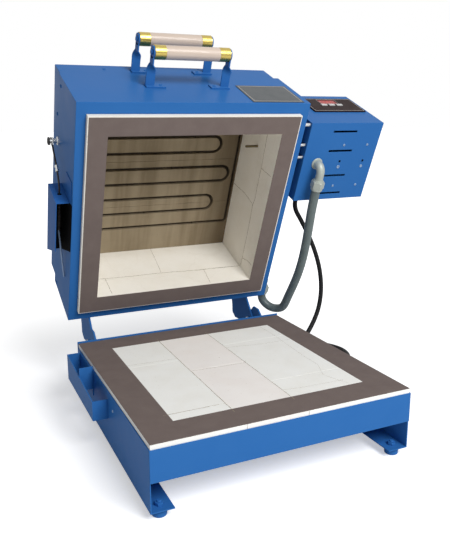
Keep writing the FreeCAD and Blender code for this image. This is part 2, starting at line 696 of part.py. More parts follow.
def makeHinge():
    for side, sign in (("left", -1), ("right", 1)):
        inner, outer = "hingeSide", "hingeSide + hingePlate"
        plate = (inner, outer) if sign > 0 else (f"-({outer})", f"-{inner}")
        ear = newBody(f"hinge_ear_{side}", flatBase)
        outline = [
            ("bandOuter", "bandBottom + 6"),
            ("bandOuter", "pinZ + 22"),
            ("bandOuter + 21", "pinZ + 39"),
            ("bandOuter + 45", "pinZ + 40"),
            ("pinY + hingeLobe * 0.8", "pinZ + hingeLobe * 0.6"),
            ("pinY", "pinZ - hingeLobe"),
        ]
        extrude(ear, "X", plate[0], plate[1], polygon(outline))
        extrude(ear, "X", plate[0], plate[1], circles([("pinY", "pinZ")], "hingeLobe"))
        foot = (outer, f"{outer} + hingeFoot") if sign > 0 else (f"-({outer}) - hingeFoot", f"-({outer})")
        addBlock(ear, foot, ("bandOuter", "bandOuter + hingePlate"), ("bandBottom + 6", "pinZ + 22"))
        carve(ear, "X", plate[0], plate[1], circles([("pinY", "pinZ")], "pinRadius + pinPlay"))

        inner, outer = "armInner", "armInner + hingePlate"
        plate = (inner, outer) if sign > 0 else (f"-({outer})", f"-{inner}")
        arm = newBody(f"hinge_arm_{side}", openLid)
        outline = [
            ("0", "8"),
            ("0", "108"),
            ("20", "100"),
            ("72", "64"),
            ("90", "55"),
            ("94", "35"),
            ("hingeBack + hingeLobe * 0.9", "-hingeDrop + hingeLobe * 0.44"),
            ("hingeBack - hingeLobe * 0.85", "-hingeDrop - hingeLobe * 0.53"),
        ]
        extrude(arm, "X", plate[0], plate[1], polygon(outline))
        pin = [("hingeBack", "-hingeDrop")]
        extrude(arm, "X", plate[0], plate[1], circles(pin, "hingeLobe"))
        foot = (f"{inner} - hingeFoot", inner) if sign > 0 else (f"-({inner})", f"hingeFoot - {inner}")
        addBlock(arm, foot, ("0", "hingePlate"), ("8", "108"))
        carve(arm, "X", plate[0], plate[1], circles(pin, "pinRadius + pinPlay"))

    pins = newBody("hinge_pins", flatBase)
    centre = [("pinY", "pinZ")]
    for sign in (-1, 1):
        spans = [
            ("armInner - hingeClearance - nutHeight", "hingeSide + hingePlate + nutHeight", "pinRadius"),
            ("armInner - hingeClearance - nutHeight", "armInner - hingeClearance", "pinHead"),
            ("hingeSide + hingePlate", "hingeSide + hingePlate + nutHeight", "pinHead"),
        ]
        for low, high, radius in spans:
            ends = (low, high) if sign > 0 else (f"-({high})", f"-({low})")
            extrude(pins, "X", ends[0], ends[1], circles(centre, radius))


# Handles


def strapSection(x, along, rise, angle):
    """The strap's cross-section at one place along it, turned round the strap's length."""
    turned = Rotation(Vector(0, 1, 0), angle)
    across = turned.multVec(Vector(at("strapWidth") / 2, 0, 0))
    through = turned.multVec(Vector(0, 0, at("strapThickness") / 2))
    centre = Vector(x, along, rise)
    corners = [centre - across - through, centre + across - through]
    corners += [centre + across + through, centre - across + through]
    return Part.makePolygon(corners + corners[:1])


def strapShape(side, rise, wall):
    """A strap that stands on the wall, turns a quarter and ends in an eye round the rod."""
    width = at("strapWidth")
    thick = at("strapThickness")
    x = side * at("handleSpan") / 2
    bladeEnd = wall - at("strapBlade")
    twistEnd = bladeEnd - at("strapTwist")
    grip = wall - at("handleRise")
    low, high = sorted([x + side * width / 2, x - side * (at("strapFoot") + width / 2)])
    foot = Part.makeBox(high - low, thick, width, Vector(low, wall - thick, rise - width / 2))
    corner = Vector(x - width / 2, bladeEnd, rise - thick / 2)
    blade = Part.makeBox(width, wall - bladeEnd, thick, corner)
    steps = 5
    sections = []
    for i in range(steps + 1):
        along = bladeEnd + (twistEnd - bladeEnd) * i / steps
        sections.append(strapSection(x, along, rise, 90 * i / steps))
    twist = Part.makeLoft(sections, True, True)
    neck = Part.makeBox(thick, twistEnd - grip, width, Vector(x - thick / 2, grip, rise - width / 2))
    ear = Part.makeCylinder(at("strapEye"), thick, Vector(x - thick / 2, grip, rise), Vector(1, 0, 0))
    hole = Part.makeCylinder(at("rodRadius"), thick, Vector(x - thick / 2, grip, rise), Vector(1, 0, 0))
    return foot.fuse([blade, twist, neck, ear]).removeSplitter().cut(hole)


def makeHandles():
    rows = (("front", "frontHandle", "casingWall"), ("rear", "rearHandle", "capWall"))
    along = "handleSpan / 2 - strapThickness / 2"
    for name, height, wall in rows:
        straps = [strapShape(side, at(height), at(wall)) for side in (-1, 1)]
        addShape(f"handle_straps_{name}", openLid, Part.makeCompound(straps))

        centre = (f"{wall} - handleRise", height)
        grip = newBody(f"handle_grip_{name}", openLid)
        shoulder = f"{along} - ferruleLength"
        seat = "gripRadius - ferruleWall"
        outline = [
            (f"-({along})", "rodRadius"),
            (f"{along}", "rodRadius"),
            (f"{along}", seat),
            (f"{shoulder}", seat),
            (f"{shoulder}", "gripRadius"),
            (f"-({shoulder})", "gripRadius"),
            (f"-({shoulder})", seat),
            (f"-({along})", seat),
        ]
        turn(grip, "X", centre, outline)

    ferrules = newBody("handle_ferrules", openLid)
    rods = newBody("handle_rods", openLid)
    for name, height, wall in rows:
        centre = (f"{wall} - handleRise", height)
        for sign in (-1, 1):
            ends = (f"{along} - ferruleLength", along)
            if sign < 0:
                ends = (f"-({along})", f"-({along} - ferruleLength)")
            outline = [
                (ends[0], "gripRadius - ferruleWall + pinPlay"),
                (ends[1], "gripRadius - ferruleWall + pinPlay"),
                (ends[1], "gripRadius + ferruleProud"),
                (ends[0], "gripRadius + ferruleProud"),
            ]
            turn(ferrules, "X", centre, outline)
        reachOut = "handleSpan / 2 + strapThickness / 2"
        extrude(rods, "X", f"-({reachOut})", reachOut, circles([centre], "rodRadius"))
        for sign in (-1, 1):
            ends = (reachOut, f"{reachOut} + rodHead")
            if sign < 0:
                ends = (f"-({reachOut}) - rodHead", f"-({reachOut})")
            extrude(rods, "X", ends[0], ends[1], circles([centre], "rodHeadRadius"))


# Control box


def makeControlBox():
    box = newBody("control_box", openLid)
    x = ("boxLeft", "boxRight")
    y = ("boxFront", "boxBack")
    skin = "sheetThickness"
    addBlock(box, x, y, (skin, "boxDepth"))
    cutBlock(
        box,
        (f"boxLeft + {skin}", f"boxRight - {skin}"),
        (f"boxFront + {skin}", f"boxBack - {skin}"),
        (skin, f"boxDepth - {skin}"),
    )
    gland = circles([("glandX", "glandRise")], "glandNeck + pinPlay")
    carve(box, "Y", f"boxBack - {skin}", "boxBack", gland)
    window = rectangle(
        "panelLeft + panelLap",
        "panelLeft + panelWidth - panelLap",
        "panelRise + panelLap",
        "panelRise + panelHeight - panelLap",
    )
    carve(box, "Y", "boxFront", f"boxFront + {skin}", window)

    panel = newBody("vent_panel", openLid)
    addBlock(panel, x, y, ("0", skin))
    left = "boxLeft + slotFromSide"
    for share in (0.895, 0.65, 0.325, 0.085):
        middle = f"boxBack - boxLength * {share}"
        cutBlock(
            panel,
            (left, f"{left} + slotLength"),
            (f"{middle} - slotWidth / 2", f"{middle} + slotWidth / 2"),
            ("0", skin),
        )
    carve(panel, "Z", "0", skin, circles([("elbowX", "-elbowFromHinge")], "elbowRadius * 0.8"))

    standoffs = newBody("box_standoffs", openLid)
    shares = [(0.965, 0.05), (0.72, 0.05), (0.565, 0.05), (0.93, 0.88), (0.13, 0.88)]
    spots = [(f"boxBack - boxLength * {along}", f"boxDepth * {up}") for along, up in shares]
    extrude(standoffs, "X", "lidSide", "boxLeft", circles(spots, "standoffRadius"))

    relay = newBody("control_relay", openLid)
    across = ("boxLeft + boxWidth * 0.3", "boxLeft + boxWidth * 0.61")
    along = ("boxBack - boxLength * 0.55", "boxBack - boxLength * 0.3")
    addBlock(relay, across, along, ("boxDepth - relayHeight", f"boxDepth - {skin}"))


def makeController():
    plate = newBody("controller_plate", openLid)
    addBlock(
        plate,
        ("panelLeft", "panelLeft + panelWidth"),
        ("panelFace", "boxFront"),
        ("panelRise", "panelRise + panelHeight"),
    )
    window = ("displayLeft", "displayLeft + displayWidth")
    tall = ("displayLow", "displayLow + displayHeight")
    carve(plate, "Y", "panelFace", "boxFront", rectangle(window[0], window[1], tall[0], tall[1]))
    spots = [f"displayLeft + displayWidth / 2 + {i} * buttonPitch" for i in (-1, 0, 1)]
    play = "buttonPlay"
    for spot in spots:
        carve(
            plate,
            "Y",
            "panelFace",
            "boxFront",
            rectangle(
                f"{spot} - buttonWidth / 2 - {play}",
                f"{spot} + buttonWidth / 2 + {play}",
                f"buttonRow - buttonHeight / 2 - {play}",
                f"buttonRow + buttonHeight / 2 + {play}",
            ),
        )

    display = newBody("display_window", openLid)
    addBlock(display, window, ("panelFace + 0.8", "boxFront"), tall)

    for name, spot in zip(("down_button", "up_button", "start_button"), spots):
        button = newBody(name, openLid)
        addBlock(
            button,
            (f"{spot} - buttonWidth / 2", f"{spot} + buttonWidth / 2"),
            ("panelFace - buttonProud", "boxFront"),
            ("buttonRow - buttonHeight / 2", "buttonRow + buttonHeight / 2"),
        )

    name = newBody("nameplate", openLid)
    addBlock(
        name,
        ("plateSide - plateWidth / 2", "plateSide + plateWidth / 2"),
        ("-lidDepth - plateThickness", "-lidDepth"),
        ("plateRise - plateHeight / 2", "plateRise + plateHeight / 2"),
    )


# Conduit and cord


def roundedRoute(points, label):
    """Straight runs joined by tangent arcs, each as large as its two runs allow."""
    points = [Vector(*p) for p in points]
    edges = []
    radii = []
    here = points[0]
    for i in range(1, len(points) - 1):
        before = points[i] - points[i - 1]
        after = points[i + 1] - points[i]
        half = before.getAngle(after) / 2
        reach = 0.45 * min(before.Length, after.Length)
        radii.append(reach / math.tan(half))
        inward = before.normalize()
        outward = after.normalize()
        start = points[i] - inward * reach
        end = points[i] + outward * reach
        bisector = (outward - inward).normalize()
        radius = radii[-1]
        middle = points[i] + bisector * (radius / math.cos(half) - radius)
        edges.append(Part.LineSegment(here, start).toShape())
        edges.append(Part.Arc(start, middle, end).toShape())
        here = end
    edges.append(Part.LineSegment(here, points[-1]).toShape())
    wire = Part.Wire(edges)
    print(f"{label}: length {wire.Length:.1f}, radii " + " ".join(f"{r:.0f}" for r in radii))
    return wire


def makeTube(label, frame, points, radius):
    wire = roundedRoute(points, label)
    tube = sweepAlong(wire, circleAcross(wire, radius))
    expected = math.pi * radius**2 * wire.Length
    print(f"{label}: volume {tube.Volume:.0f}, section times length {expected:.0f}")
    return addShape(label, frame, tube)


def makeConduit():
    elbow = newBody("box_elbow", openLid)
    centre = [("elbowX", "-elbowFromHinge")]
    pipe = [("elbowX", "-elbowReach")]
    extrude(elbow, "Z", "-elbowReach - elbowRadius * 0.7", "0", circles(centre, "elbowRadius"))
    extrude(elbow, "Z", "-collarLength", "0", circles(centre, "elbowRadius * 1.35"))
    extrude(elbow, "Y", "-elbowFromHinge", "nutStart", circles(pipe, "elbowRadius * 0.9"))
    extrude(elbow, "Y", "nutStart", "nutEnd - collarLength", circles(pipe, "nutRadius"))
    extrude(elbow, "Y", "nutEnd - collarLength", "nutEnd", circles(pipe, "conduitRadius * 1.3"))

    lower = newBody("lid_elbow", openLid)
    centre = [("-lidElbowFromHinge", "lidElbowRise")]
    pipe = [("lidElbowX", "lidElbowRise")]
    extrude(lower, "X", "lidSide", "lidElbowX + elbowRadius * 0.7", circles(centre, "elbowRadius"))
    extrude(lower, "X", "lidSide", "lidSide + collarLength", circles(centre, "elbowRadius * 1.35"))
    extrude(lower, "Y", "-lidElbowFromHinge", "lidNutStart", circles(pipe, "elbowRadius * 0.9"))
    extrude(lower, "Y", "lidNutStart", "lidNutEnd - collarLength", circles(pipe, "nutRadius * 0.9"))
    extrude(lower, "Y", "lidNutEnd - collarLength", "lidNutEnd", circles(pipe, "conduitRadius * 1.3"))

    # Across, along and up from the box's nut, as shares of the run from nut to nut
    shares = [
        (0.003, 0.128, -0.003),
        (0.014, 0.266, -0.010),
        (0.029, 0.415, -0.011),
        (0.040, 0.565, -0.009),
        (0.043, 0.703, 0.000),
        (0.040, 0.829, 0.017),
        (0.034, 0.950, 0.037),
        (0.032, 1.062, 0.055),
        (0.009, 1.103, 0.086),
        (-0.030, 1.123, 0.135),
        (-0.069, 1.104, 0.184),
        (-0.092, 1.062, 0.216),
    ]
    run = at("lidNutEnd") - at("nutEnd")
    start = Vector(at("elbowX"), at("nutEnd") + at("conduitGap"), -at("elbowReach"))
    end = Vector(at("lidElbowX"), at("lidNutEnd") + at("conduitGap"), at("lidElbowRise"))
    points = [start] + [start + Vector(*share) * run for share in shares] + [end]
    makeTube("conduit", openLid, points, at("conduitRadius"))


def makeGland():
    gland = newBody("cord_gland", openLid)
    spot = [("glandX", "glandRise")]
    extrude(gland, "Y", "boxBack", "boxBack + glandLength", circles(spot, "glandRadius"))
    inside = "boxBack - sheetThickness - glandInside"
    extrude(gland, "Y", inside, "boxBack", circles(spot, "glandNeck"))
    start = Vector(at("glandX"), at("boxBack") + at("glandLength"), at("glandRise"))
    wide, narrow = at("cordRadius") * 1.8, at("cordRadius") * 1.15
    relief = Part.makeCone(wide, narrow, at("reliefLength"), start, Vector(0, 1, 0))
    addShape("strain_relief", openLid, relief)
    return openLid.multVec(start + Vector(0, at("reliefLength") + at("brickFit"), 0))


def makeCord(leaving):
    radius = at("cordRadius")
    coil = at("coilRadius")
    points = [
        (leaving.x, leaving.y, leaving.z),
        (338, 318, 400.7),
        (364, 319, 362),
        (395, 315, 304),
        (415, 312, 250),
        (425, 311, 204),
        (427, 310, 160),
        (420, 309, 117),
        (403, 307, 80),
        (377, 302, 46),
        (346, 294, 19),
        (312, 280, radius),
        (292, 252, radius),
        (292, 218, radius),
        (312, 190, radius),
        (345, 176, radius),
        (382, 172, radius),
        (419, 178, radius),
        (446, 199, radius),
        (464, 232, radius),
        (467, 268, radius),
        (454, 303, radius),
        (430, 331, radius),
        (392, 350, radius),
        (350, 362, radius),
        (306, 370, radius),
        (262, 375, radius),
    ]
    makeTube("cord_tube", flatBase, points, radius)

    middle = Vector(points[-1][0], points[-1][1] + coil, 0)
    low, high = radius, 3 * radius

    def spot(out, rise):
        return Vector(middle.x + coil + out, middle.y, rise)

    edges = [
        Part.LineSegment(spot(-radius, high), spot(-radius, low)).toShape(),
        Part.Arc(spot(-radius, low), spot(0, 0), spot(radius, low)).toShape(),
        Part.LineSegment(spot(radius, low), spot(radius, high)).toShape(),
        Part.Arc(spot(radius, high), spot(0, high + radius), spot(-radius, high)).toShape(),
    ]
    section = Part.Face(Part.Wire(edges))
    addShape("cord_coil", flatBase, section.revolve(middle, Vector(0, 0, 1), 360))

    makePlug(middle)


def makePlug(coilMiddle):
    """The plug lies beside the coil, on the cord's upper turn where that runs out of it."""
    plug = newBody("plug", flatBase)
    axis = f"{coilMiddle.y} - coilRadius"
    tail = f"{coilMiddle.x} - 2 * cordRadius"
    back = f"{tail} - plugTail"
    front = f"{back} - plugLength"
    half = "plugWidth / 2"
    extrude(plug, "X", back, tail, circles([(axis, "3 * cordRadius")], "cordRadius"))
    addBlock(plug, (front, back), (f"{axis} - {half}", f"{axis} + {half}"), ("0", "plugHeight"))
    blades = (f"{front} - bladeLength", front)
    for side in (-1, 1):
        blade = f"{axis} + {side} * plugWidth / 4"
        across = (f"{blade} - bladeThickness / 2", f"{blade} + bladeThickness / 2")
        addBlock(plug, blades, across, ("plugHeight * 0.3", "plugHeight * 0.55"))
    extrude(plug, "X", blades[0], front, circles([(axis, "plugHeight * 0.75")], "pinBladeRadius"))


# Screws and the lid's spring


def makeScrews():
    """Screw heads on the lid's walls, the straps' feet and the control box."""
    lid = newBody("lid_screws", openLid)

    def heads(axis, face, outward, spots, radius="screwRadius"):
        ends = (face, f"{face} + screwHeight") if outward > 0 else (f"{face} - screwHeight", face)
        extrude(lid, axis, ends[0], ends[1], circles(spots, radius))

    feet = [f"{side} * (handleSpan / 2 - strapFoot)" for side in (-1, 1)]
    heads("Y", "casingWall - strapThickness", -1, [(spot, "frontHandle") for spot in feet])
    heads("Y", "capWall - strapThickness", -1, [(spot, "rearHandle") for spot in feet])
    casingRow = "casingHeight - screwDrop"
    capSpots = [(f"{side} * capSide * 0.6", "casingHeight + capHeight * 0.64") for side in (-1, 1)]
    heads("Y", "capWall", -1, capSpots)
    heads("X", "-lidSide", -1, [("screwDrop - lidDepth", casingRow), ("-screwDrop / 2", casingRow)])
    capRow = "casingHeight + capHeight * 0.42"
    heads("X", "-capSide", -1, [("-lidDepth * 0.81", capRow), ("-lidDepth * 0.23", capRow)])
    columns = [f"boxLeft + boxWidth * {share}" for share in (0.515, 0.85)]
    rows = [f"boxBack - boxLength * {share}" for share in (0.725, 0.515, 0.44, 0.185)]
    heads("Z", "0", -1, [(x, y) for x in columns for y in rows], "screwRadius * 0.8")


def makeSpring():
    guard = newBody("spring_guard", openLid)
    skin = "sheetThickness"
    wall = "-lidSide"
    back = "guardFront + guardDepth"
    side = [
        ("-guardTop", "guardFront"),
        ("-guardBottom", "guardFront"),
        ("-guardTail", back),
        ("-guardTop", back),
    ]
    extrude(guard, "X", "guardSide", f"guardSide + {skin}", polygon(side))
    inside = (f"guardSide + {skin}", wall)
    addBlock(guard, inside, ("-guardTop", f"{skin} - guardTop"), ("guardFront", back))
    addBlock(guard, inside, (f"{skin} - guardTop", "-guardTail"), (f"{back} - {skin}", back))
    flap = ("guardFront - guardFlapLow", "guardFront + guardDepth / 2")
    addBlock(guard, (f"{wall} - {skin}", wall), ("-guardTop - guardFlap", "-guardTop"), flap)
    hole = circles([("springX", "springRise")], "hookRadius * 2.5")
    carve(guard, "Y", "-guardTop", f"{skin} - guardTop", hole)

    spring = newBody("lid_spring", openLid)
    hole = [("springX", "springRise")]
    extrude(spring, "Y", "-springTop", "springLength - springTop", circles(hole, "springRadius"))

    anchor = newBody("anchor_stud", openLid)
    spot = [("-anchorFromHinge", "anchorRise")]
    neck = "-lidSide - anchorReach"
    extrude(anchor, "X", neck, "-lidSide", circles(spot, "anchorRadius"))
    extrude(anchor, "X", "-lidSide - anchorCap", "-lidSide", circles(spot, "anchorRadius * 1.9"))
    extrude(anchor, "X", f"{neck} - anchorCap", neck, circles(spot, "anchorRadius * 1.8"))

    x, rise = at("springX"), at("springRise")
    stud = Vector(x, -at("anchorFromHinge"), at("anchorRise"))
    top = Vector(x, -at("springTop") - at("wireGap"), rise)
    bend = at("anchorFromHinge") - at("springTop")
    slant = Vector(0, 0.67, -0.74)
    points = [
        top,
        top - Vector(0, bend * 0.27, 0),
        top + Vector(0, -bend * 0.55, bend * 0.23),
        stud + slant * (at("anchorRadius") + 3 * at("springRadius") / 2),
        stud + slant * (at("anchorRadius") + at("wireGap")),
    ]
    makeTube("spring_hook", openLid, points, at("hookRadius"))

    low = Vector(x, at("springLength") - at("springTop") + at("wireGap"), rise)
    side = -at("lidSide") - at("hookRadius") - at("wireGap")
    along = Vector(side, -at("rodFootFromHinge"), at("rodFootRise")) - low
    addShape("pull_rod", openLid, Part.makeCylinder(at("hookRadius"), along.Length, low, along))


def checkAndExport():
    doc.recompute()
    os.makedirs("parts", exist_ok=True)
    for item in doc.Objects:
        if "Invalid" in item.State or "Error" in item.State:
            raise RuntimeError(f"{item.Name} is {item.State}")
    faults = [node.Label for node in nodes if node.Shape.isNull() or not node.Shape.isValid()]
    if faults:
        raise RuntimeError("not valid: " + ", ".join(faults))
    for node in nodes:
        node.Shape.exportStep(f"parts/{node.Label}.step")
        box = node.Shape.optimalBoundingBox()
        low = f"{box.XMin:.1f} {box.YMin:.1f} {box.ZMin:.1f}"
        high = f"{box.XMax:.1f} {box.YMax:.1f} {box.ZMax:.1f}"
        solids = len(node.Shape.Solids)
        print(f"{node.Label}: {solids} solids, {node.Shape.Volume:.0f} mm3, {low} to {high}")
    print(len(nodes), "nodes")


makeBaseCasing()
makeBaseBricks()
makeFeet()
makeSideBracket()
makeLidCasing()
makeLidBricks()
makeRoof()
makeHinge()
makeHandles()
makeControlBox()
makeController()
makeConduit()
makeCord(makeGland())
makeScrews()
makeSpring()
checkAndExport()
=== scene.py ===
import json
from math import copysign, cos, pi, radians, sin, sqrt, tau

import bmesh
import bpy
from mathutils import Matrix, Vector, noise

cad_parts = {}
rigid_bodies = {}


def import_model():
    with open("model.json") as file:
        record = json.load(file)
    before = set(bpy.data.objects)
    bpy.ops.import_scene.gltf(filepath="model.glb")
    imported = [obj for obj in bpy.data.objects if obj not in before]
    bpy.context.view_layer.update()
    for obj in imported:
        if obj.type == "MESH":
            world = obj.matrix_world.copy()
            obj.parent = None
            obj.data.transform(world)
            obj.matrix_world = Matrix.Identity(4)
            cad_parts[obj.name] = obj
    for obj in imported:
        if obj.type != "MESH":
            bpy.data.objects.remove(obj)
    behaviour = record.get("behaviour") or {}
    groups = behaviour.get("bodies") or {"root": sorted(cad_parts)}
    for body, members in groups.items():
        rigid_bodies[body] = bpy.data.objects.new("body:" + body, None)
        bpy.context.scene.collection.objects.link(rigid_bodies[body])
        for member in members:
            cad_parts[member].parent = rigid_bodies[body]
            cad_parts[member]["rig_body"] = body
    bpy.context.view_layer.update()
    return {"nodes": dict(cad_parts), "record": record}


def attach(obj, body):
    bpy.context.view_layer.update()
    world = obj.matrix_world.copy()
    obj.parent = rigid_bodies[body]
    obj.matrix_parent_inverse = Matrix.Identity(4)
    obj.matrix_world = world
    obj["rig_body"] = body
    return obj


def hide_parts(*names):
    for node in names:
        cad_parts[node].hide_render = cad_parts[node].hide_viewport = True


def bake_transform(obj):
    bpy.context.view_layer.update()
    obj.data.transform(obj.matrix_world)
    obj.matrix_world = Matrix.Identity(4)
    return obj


# Clamshell glass fusing kiln. Metres here, and millimetres where a value says so.
# The lid is written in its own closed frame: X right, Y back with 0 at its hinge side, Z up from the rim.

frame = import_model()
nodes = frame["nodes"]
print("frame loaded:", len(nodes), "nodes")

lidSwing = {"angle": -67.4, "pinY": 312.5, "pinZ": 111.6, "backY": 265.5, "rimZ": 147.6}


def lidMatrix():
    # From the closed lid's own millimetres to the open lid in metres.
    pin = Matrix.Translation((0, lidSwing["pinY"], lidSwing["pinZ"]))
    turn = Matrix.Rotation(radians(lidSwing["angle"]), 4, "X")
    seat = Matrix.Translation((0, lidSwing["backY"], lidSwing["rimZ"]))
    return Matrix.Scale(0.001, 4) @ pin @ turn @ pin.inverted() @ seat


onLid = lidMatrix()
onBase = Matrix.Scale(0.001, 4)  # the base's millimetres


def placed(name, data):
    # A new object in the scene.
    item = bpy.data.objects.new(name, data)
    bpy.context.scene.collection.objects.link(item)
    return item


def setInputs(node, values):
    # A value may be another node's output, which is then linked.
    for name, value in values.items():
        if isinstance(value, bpy.types.NodeSocket):
            node.id_data.links.new(value, node.inputs[name])
        else:
            node.inputs[name].default_value = value


# Camera

cameraPlan = {
    "place": (-0.5295, -1.1177, 0.6287),
    "azimuth": -24.33,
    "elevation": 12.58,
    "roll": -0.22,
    "lens": 41.246,
    "shift": (0.01304, -0.03335),
}


def makeCamera(plan):
    data = bpy.data.cameras.new("camera")
    data.sensor_fit = "VERTICAL"
    data.sensor_height = 36
    data.lens = plan["lens"]
    data.shift_x, data.shift_y = plan["shift"]
    data.clip_start = 0.01
    data.clip_end = 60
    camera = placed("camera", data)
    a, e, r = (radians(plan[name]) for name in ("azimuth", "elevation", "roll"))
    forward = Vector((-sin(a) * cos(e), cos(a) * cos(e), -sin(e)))
    level = Vector((cos(a), sin(a), 0))
    above = level.cross(forward)
    right = level * cos(r) + above * sin(r)
    up = above * cos(r) - level * sin(r)
    turn = Matrix((right, up, -forward)).transposed().to_4x4()
    camera.matrix_world = Matrix.Translation(plan["place"]) @ turn
    bpy.context.scene.camera = camera


makeCamera(cameraPlan)
print("camera placed")


# Mesh helpers


def finished(name, build, body, bevel=0.0, smooth=35):
    # Turns a bmesh in metres into a piece with its edges rounded by bevel millimetres.
    mesh = bpy.data.meshes.new(name)
    bmesh.ops.recalc_face_normals(build, faces=build.faces)
    build.to_mesh(mesh)
    build.free()
    if bevel > 0:
        mesh = rounded(name, mesh, bevel)
    piece = placed(name, mesh)
    for polygon in mesh.polygons:
        polygon.use_smooth = True
    if not mesh.has_custom_normals:
        mesh.set_sharp_from_angle(angle=radians(smooth))
    if body:
        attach(piece, body)
    return piece


def rounded(name, mesh, width):
    # Flat faces keep their own normals beside the rounded edges.
    for polygon in mesh.polygons:
        polygon.use_smooth = True
    holder = placed(name + "Rough", mesh)
    edge = holder.modifiers.new("edge", "BEVEL")
    edge.width = width / 1000
    edge.segments = 2
    edge.limit_method = "ANGLE"
    edge.angle_limit = radians(35)
    faces = holder.modifiers.new("faces", "WEIGHTED_NORMAL")
    faces.weight = 60
    view = bpy.context.evaluated_depsgraph_get()
    result = bpy.data.meshes.new_from_object(holder.evaluated_get(view))
    bpy.data.objects.remove(holder)
    result.name = name
    return result


def softened(node, width):
    # A copy of a CAD node with its folded edges rounded, which takes the node's place.
    build = bmesh.new()
    build.from_mesh(nodes[node].data)
    bmesh.ops.remove_doubles(build, verts=build.verts, dist=0.00002)
    flat = radians(0.6)
    bmesh.ops.dissolve_limit(build, angle_limit=flat, verts=build.verts, edges=build.edges)
    piece = finished(node + "Piece", build, nodes[node]["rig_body"], width)
    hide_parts(node)
    return piece


def addBox(build, low, high, place):
    corners = [
        build.verts.new(place @ Vector((x, y, z)))
        for z in (low[2], high[2])
        for x, y in ((low[0], low[1]), (high[0], low[1]), (high[0], high[1]), (low[0], high[1]))
    ]
    for face in ((3, 2, 1, 0), (4, 5, 6, 7), (0, 1, 5, 4), (1, 2, 6, 5), (2, 3, 7, 6), (3, 0, 4, 7)):
        build.faces.new([corners[i] for i in face])


def addRings(build, rings):
    # Joins rings of points, each as long as the next, with faces, and closes both ends.
    made = [[build.verts.new(point) for point in ring] for ring in rings]
    count = len(made[0])
    for low, high in zip(made, made[1:]):
        for i in range(count):
            j = (i + 1) % count
            build.faces.new((low[i], low[j], high[j], high[i]))
    build.faces.new(list(reversed(made[0])))
    build.faces.new(made[-1])


def turnsOf(count):
    return [tau * i / count for i in range(count)]


def ringRound(centre, across, other, radius, sides, place=Matrix()):
    return [place @ (centre + (across * cos(t) + other * sin(t)) * radius) for t in turnsOf(sides)]


def turned(build, outline, origin, axis, place, sides=40):
    # Turns (step, radius) pairs round an axis through origin. A radius of 0 closes an end.
    along = Vector(axis).normalized()
    across = along.orthogonal().normalized()
    other = along.cross(across)
    rings = []
    for step, radius in outline:
        centre = Vector(origin) + along * step
        rings.append(ringRound(centre, across, other, max(radius, 0.02), sides, place))
    addRings(build, rings)


def tubeAlong(build, path, radius, sides):
    # A round tube with its rings square to the path, in metres.
    points = [Vector(p) for p in path]
    rings = []
    side = None
    for i, point in enumerate(points):
        before = points[max(i - 1, 0)]
        after = points[min(i + 1, len(points) - 1)]
        along = (after - before).normalized()
        if side is None:
            side = along.orthogonal()
        side = (side - along * side.dot(along)).normalized()
        rings.append(ringRound(point, side, along.cross(side), radius, sides))
    addRings(build, rings)


def splinePoints(points, resolution):
    # Points read from a smooth NURBS spline through the plan's control points.
    data = bpy.data.curves.new("route", "CURVE")
    data.dimensions = "3D"
    data.resolution_u = resolution
    spline = data.splines.new("NURBS")
    spline.points.add(len(points) - 1)
    for spot, point in zip(spline.points, points):
        spot.co = (*point, 1)
    spline.order_u = 3
    spline.use_endpoint_u = True
    holder = placed("route", data)
    bpy.context.view_layer.update()
    line = bpy.data.meshes.new_from_object(holder)
    result = [v.co.copy() for v in line.vertices]
    bpy.data.objects.remove(holder)
    return result


# Power cord, from the relief under the control box down to the floor, round and into its coil

cordPlan = {
    "radius": 0.006,
    "drop": [
        (0.338, 0.3088, 0.4226), (0.338, 0.318, 0.4007), (0.364, 0.319, 0.362), (0.395, 0.315, 0.304),
        (0.415, 0.312, 0.250), (0.425, 0.311, 0.204), (0.427, 0.310, 0.160), (0.420, 0.309, 0.117),
        (0.403, 0.307, 0.080), (0.377, 0.302, 0.046), (0.346, 0.294, 0.019),
    ],
    "floor": [
        (0.312, 0.280), (0.292, 0.252), (0.292, 0.218), (0.312, 0.190), (0.345, 0.176), (0.382, 0.172),
        (0.419, 0.178), (0.446, 0.199), (0.464, 0.232), (0.467, 0.268), (0.454, 0.303), (0.430, 0.331),
        (0.392, 0.350), (0.350, 0.362), (0.306, 0.370), (0.262, 0.375),
    ],
    "coilMiddle": (0.262, 0.435),
    "coilRadius": 0.060,
    "coilTurns": 2,
    "pointsPerTurn": 12,
    "climb": 0.72,
    "tail": 0.012,
    "length": 1.83,
}


def cordRoute(plan):
    # Down from the relief and along the floor, then the coil's two turns, the second on the first.
    low = plan["radius"]
    points = plan["drop"] + [(*spot, low) for spot in plan["floor"]]
    x, y = plan["coilMiddle"]
    perTurn = plan["pointsPerTurn"]
    reach = plan["coilRadius"] / cos(pi / perTurn)
    for i in range(plan["coilTurns"] * perTurn):
        angle = -pi / 2 - tau * (i + 0.5) / perTurn
        rise = low + 2 * low * min(max(((i + 1) / perTurn - plan["climb"]) / 0.5, 0), 1)
        points.append((x + reach * cos(angle), y + reach * sin(angle), rise))
    points.append((x, y - plan["coilRadius"], 3 * low))
    points.append((x - plan["tail"], y - plan["coilRadius"], 3 * low))
    return points


def makeCord(plan):
    path = splinePoints(cordRoute(plan), 10)
    build = bmesh.new()
    tubeAlong(build, path, plan["radius"], 14)
    cord = finished("powerCord", build, None)
    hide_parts("cord_tube", "cord_coil")
    print("cord spline", round(sum((b - a).length for a, b in zip(path, path[1:])), 3), "m")
    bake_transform(cord)
    return cord, path


powerCord, cordPath = makeCord(cordPlan)


# Shader groups shared by the finishes


